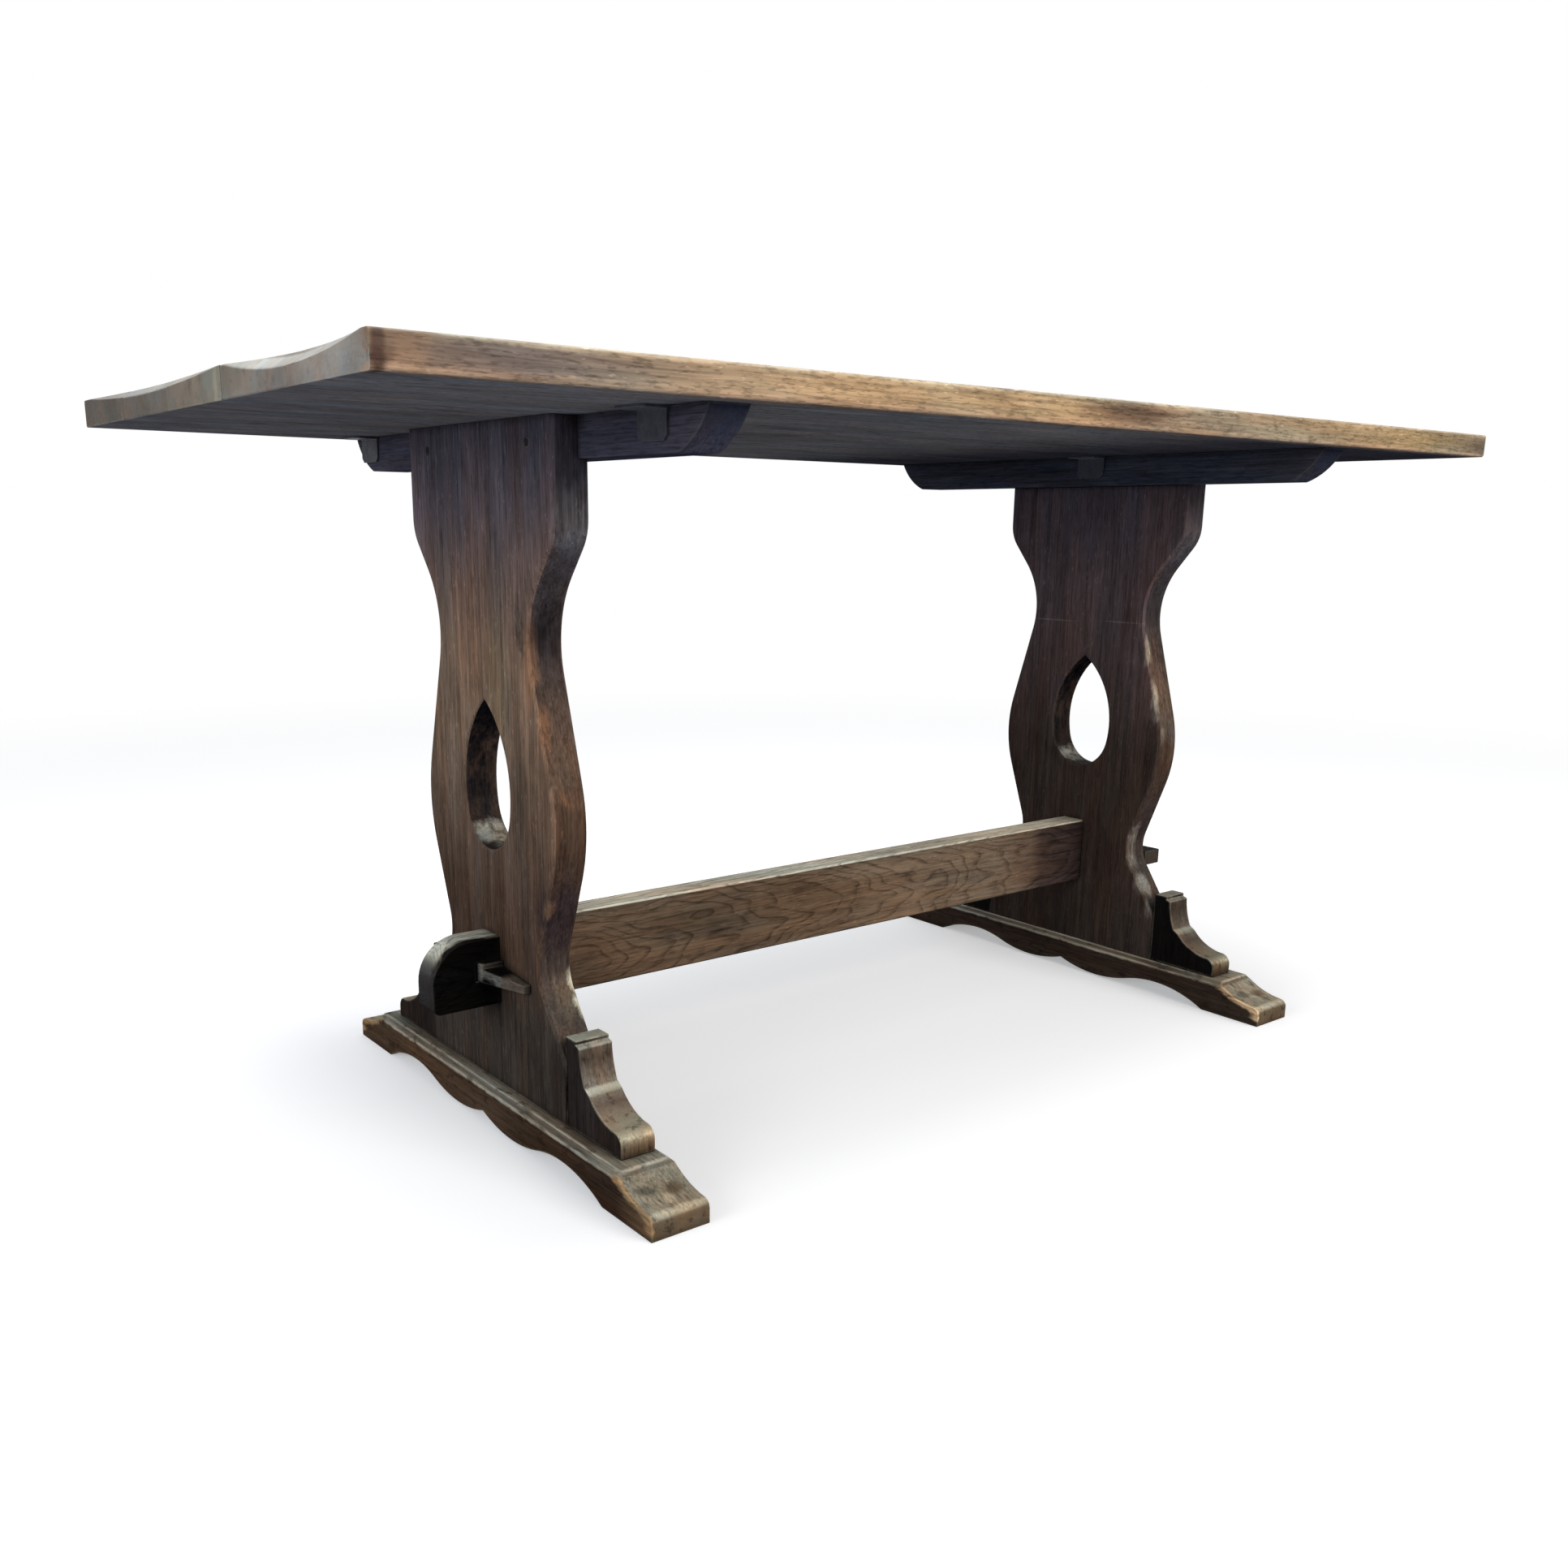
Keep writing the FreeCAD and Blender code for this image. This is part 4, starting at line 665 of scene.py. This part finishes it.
# %% Foot marks
LEDGE_TOP = 0.046
LEDGE_LINE, LEDGE_GROOVE = (0.5, 0.46, 0.37), (0.07, 0.06, 0.048)
TOE_ARRIS = [(0.277, 0.039), (0.287, 0.034), (0.297, 0.0295), (0.307, 0.0265), (0.317, 0.0245),
             (0.328, 0.021), (0.333, 0.011)]
TOE_MARKS = [
    (0, 0.2735, 0.042, (0.06, 0.002, 0.004), (0.12, 0.105, 0.085), 0.7),
    (0, 0.2705, LEDGE_TOP, (0.06, 0.0025, 0.004), LEDGE_LINE, 0.9),
    (-0.012, 0.294, 0.031, (0.012, 0.009, 0.01), (0.1, 0.1, 0.08), 0.8),
    (0.015, 0.299, 0.029, (0.014, 0.01, 0.01), (0.13, 0.088, 0.052), 0.85),
    (0.002, 0.309, 0.026, (0.006, 0.01, 0.01), (0.48, 0.42, 0.3), 0.8),
    (0, 0.326, 0.024, (0.06, 0.005, 0.007), (0.55, 0.48, 0.35), 0.9),
]
ARRIS_GOLD = {"left": (0.46, 0.275, 0.135), "right": (0.85, 0.58, 0.33)}
BRACKET_LIGHT = {"left": 1, "right": 0.75}


def faded(stain, share):
    """The same stain with every colour darker or lighter."""
    stops = [(at, tuple(share * part for part in colour)) for at, colour in stain.stops]
    return stain._replace(stops=stops)


def foot_marks(middle_x, side):
    """The lines along a foot's ledge, the marks on both toes and the golden arris of each."""
    marks = []
    for edge in (-1, 1):
        marks += [
            Mark((middle_x + 0.03 * edge, 0, 0.043), (0.003, 0.4, 0.003), LEDGE_GROOVE, 0.6),
            Mark((middle_x + 0.0268 * edge, 0, LEDGE_TOP), (0.0018, 0.45, 0.0016), LEDGE_LINE, 0.8),
            Mark((middle_x + 0.0335 * edge, 0, 0.04), (0.002, 0.45, 0.0028), LEDGE_LINE, 0.9)]
    for end in (-1, 1):
        for across, out, rise, reach, colour, strength in TOE_MARKS:
            marks.append(Mark((middle_x + across, out * end, rise), reach, colour, strength))
        for out, rise in TOE_ARRIS:
            marks.append(Mark((middle_x - 0.034, out * end, rise), (0.006, 0.014, 0.0055),
                              ARRIS_GOLD[side], 1))
    return marks


# %% Feet
for seed, side in enumerate(("left", "right"), 41):
    name = f"sledge_foot_{side}"
    centre = middle(name)
    coats = [Coat("Y", 0, 0.5, 0.9, TOE_END), Coat("Z", 1, 0.3, 0.7, FOOT_TREAD),
             Coat("Z", -1, 0.5, 0.9, FOOT_SOLE)]
    if side == "right":
        coats.insert(0, Coat("X", -1, 0.3, 0.8, SHADED_FOOT))
    material = oak(name, "y", seed, (centre.x + 0.08, centre.z + 0.06), FOOT_FIGURE, FOOT_SIDE,
                   coats + foot_marks(centre.x, side), worn=FOOT_WORN, wear=0.85)
    dress(name, material, "foot")
    for end, way in (("front", -1), ("back", 1)):
        name = f"foot_bracket_{side}_{end}"
        centre = middle(name)
        face = faded(BRACKET_FACE, BRACKET_LIGHT[side])
        coats = [Coat("Y", way, 0.1, 0.4, face), Coat("Z", 1, 0.3, 0.7, face)]
        if side == "right":
            coats.insert(0, Coat("X", -1, 0.3, 0.8, SHADED_SIDE))
        material = oak(name, "z", seed + 10 + way, (centre.y + 0.08, centre.x + 0.06), FOOT_FIGURE,
                       BRACKET_SIDE, coats + touching(name, SLAB_MARKS), wear=0.7)
        dress(name, material, "bracket")
    print(side, "foot and brackets dressed")

# %% [markdown]
# ## Stretcher and keys
# The stretcher was sawn flat through the log, so its front shows arches and closed loops of
# dark lines. Its upper face is almost white, partly rubbed by heels and partly painted light,
# and its front darkens towards the right slab as a painted shadow. The sides of the tenons
# outside the slabs are painted black as shade, and the loose keys are pale only at the struck
# end, their tops otherwise painted black as shade.

# %% Stretcher and key stains
# Painted shade: the tenons' sides outside the slabs are near black, and the front darkens towards
# the right slab as a painted shadow.
TENON_SHADE = (0.004, 0.0037, 0.0035)
STRETCHER_SIDE = Along("X", [
    (-0.58, TENON_SHADE), (-0.5, TENON_SHADE), (-0.45, (0.1, 0.07, 0.05)),
    (-0.35, (0.139, 0.091, 0.059)), (-0.1, (0.155, 0.104, 0.067)), (0.1, (0.205, 0.142, 0.094)),
    (0.3, (0.18, 0.122, 0.082)), (0.345, (0.14, 0.095, 0.068)), (0.365, (0.075, 0.048, 0.04)),
    (0.45, (0.05, 0.033, 0.03)), (0.5, (0.03, 0.024, 0.02)), (0.58, (0.03, 0.024, 0.02))], 0.02)
# The upper face is almost white, partly wear and partly painted light from above.
STRETCHER_TREAD = Along("X", [
    (-0.58, (0.33, 0.33, 0.29)), (-0.55, (0.66, 0.62, 0.5)), (-0.49, (0.5, 0.45, 0.36)),
    (-0.4, (0.78, 0.71, 0.57)), (0.4, (0.74, 0.66, 0.52)), (0.58, (0.3, 0.26, 0.2))])
TENON_END = Along("Z", [
    (0.135, (0.025, 0.022, 0.022)), (0.18, (0.045, 0.04, 0.04)), (0.21, (0.16, 0.16, 0.15))])
STRETCHER_FIGURE = Figure(spacing=0.0046, tilt=-0.1, wave=0.042, rings=0.5, streaks=1.1, pores=0.35,
                          specks=0.35, blotches=0.25)
STRETCHER_SOLE, STRETCHER_WORN = (0.07, 0.05, 0.04), (0.3, 0.24, 0.18)
TIP, SCRAPED, KEY_SHADE = (0.12, 0.088, 0.066), (0.155, 0.15, 0.13), (0.005, 0.0045, 0.0045)
KEY_END, KEY_NICK, KEY_WORN = (0.06, 0.05, 0.04), (0.24, 0.235, 0.2), (0.16, 0.14, 0.115)
KEY_FIGURE = Figure(spacing=0.004, tilt=0.03, wave=0.01, rings=0.3, streaks=1.5, pores=0.3,
                    specks=0.2, blotches=0.3)

# %% Stretcher
centre = middle("stretcher")
coats = [Coat("Z", 1, 0.25, 0.75, STRETCHER_TREAD), Coat("Z", -1, 0.5, 0.9, STRETCHER_SOLE),
         Coat("X", 0, 0.7, 0.95, TENON_END)]
# Painted shade over the front half of each tenon's crown.
for side in (-1, 1):
    coats.append(Mark((0.54 * side, -0.017, 0.21), (0.055, 0.0125, 0.05), TENON_SHADE, 1))
material = oak("stretcher", "x on edge", 0, (centre.z - 0.008, centre.y + 0.07), STRETCHER_FIGURE,
               STRETCHER_SIDE, coats, worn=STRETCHER_WORN, wear=0.08)
dress("stretcher", material, "stretcher")
print("stretcher dressed, coats and marks:", len(coats))

# %% Keys
KEY_SIDE_STOPS = [(-0.11, TIP), (-0.056, TIP), (-0.046, SCRAPED), (0, SCRAPED)]
# Painted shade: the tops of the keys are near black except at the end that stands out.
KEY_TOP_STOPS = [(-0.11, TIP), (-0.06, TIP), (-0.048, KEY_SHADE), (0, KEY_SHADE)]


def driven(stops, way):
    """The stain and painted shade of a key that was driven in from the back (way 1) or from the
    front (way -1).
    """
    return Along("Y", [(at * way, colour) for at, colour in stops][::way], 0.01)


for seed, (side, way) in enumerate((("left", 1), ("right", -1)), 61):
    name = f"tenon_key_{side}"
    centre, low = middle(name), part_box(name)[0]
    key_side, key_top = driven(KEY_SIDE_STOPS, way), driven(KEY_TOP_STOPS, way)
    layers = [Coat("Y", 0, 0.6, 0.9, KEY_END), Coat("Z", 1, 0.5, 0.9, key_top),
              # Painted shade on the lower front of each key.
              Mark((low.x + 0.004, -0.036 * way, low.z - 0.002), (0.016, 0.024, 0.0125), KEY_SHADE, 1),
              Mark((low.x + 0.004, -0.023 * way, 0.181), (0.007, 0.005, 0.012), KEY_NICK, 0.9)]
    material = oak(name, "y", seed, (centre.x + 0.03, centre.z), KEY_FIGURE, key_side, layers,
                   worn=KEY_WORN, wear=0.5)
    dress(name, material, "key")

# %% [markdown]
# ## Bearers and their steel
# The bearers hide under the top; their stain is painted dark and blue-grey, partly their own
# stain and partly a painted shade. The angle plates and their screws are plain steel that has
# gone dull and grey: a little metal shine, a mottled colour and a rough surface.

# %% Bearers
BEARER_FIGURE = Figure(spacing=0.007, tilt=0.03, wave=0.02, rings=0.25, streaks=1.4, pores=0.3,
                       specks=0.15, blotches=0.2)
# The blue-grey of the bearers and their end grain is partly stain and partly painted shade.
BEARER_END, BEARER_WORN = (0.039, 0.041, 0.06), (0.24, 0.21, 0.18)
BEARER_STAIN_AND_SHADE = {"left": (0.122, 0.112, 0.142), "right": (0.11, 0.112, 0.135)}
for seed, side in enumerate(("left", "right"), 71):
    name = f"bearer_{side}"
    centre = middle(name)
    coats = [Coat("Y", 0, 0.3, 0.8, BEARER_END)]
    material = oak(name, "y", seed, (centre.x + 0.08, centre.z + 0.06), BEARER_FIGURE,
                   BEARER_STAIN_AND_SHADE[side], coats, worn=BEARER_WORN, wear=0.6)
    dress(name, material, "bearer")


# %% Steel
STEEL_DARK, STEEL_PALE, STEEL_EDGE = (0.05, 0.05, 0.06), (0.09, 0.09, 0.105), (0.2, 0.195, 0.2)
STEEL_EDGE_REACH = 0.0015


def steel(name):
    """Dull old steel."""
    material = bpy.data.materials.new(name)
    tree = shader_tree(material)
    place = node(tree, "TexCoord").outputs["Object"]
    cloud = noise(tree, place, 90, 4, 0.65)
    colour = ramp(tree, cloud, [(0.35, STEEL_DARK), (0.65, STEEL_PALE)])
    edge = edge_mask(tree, STEEL_EDGE_REACH)
    colour = mix(tree, calc(tree, "MULTIPLY", edge, 0.4), colour, STEEL_EDGE)
    rough = slide(tree, cloud, 0.3, 0.7, 0.42, 0.65)
    bump = node(tree, "Bump", {"Height": cloud, "Strength": 0.3, "Distance": 0.0002})
    shader = node(tree, "BsdfPrincipled", {
        "Base Color": colour, "Roughness": rough, "Metallic": 0.15, "Specular IOR Level": 0.1,
        "Normal": bump.outputs[0]})
    node(tree, "OutputMaterial", {"Surface": shader.outputs[0]})
    return material


plate_steel = steel("plate_steel")
for side in ("left", "right"):
    for spot in ("front", "back", "middle"):
        dress(f"angle_plate_{side}_{spot}", plate_steel, "plate")
    dress(f"plate_screws_{side}", plate_steel, "hidden")
    dress(f"bearer_screws_{side}", plate_steel, "hidden")
print("materials:", len([m for m in bpy.data.materials if m.users]))

# %% Colour view
bpy.context.scene.view_settings.view_transform = "Standard"
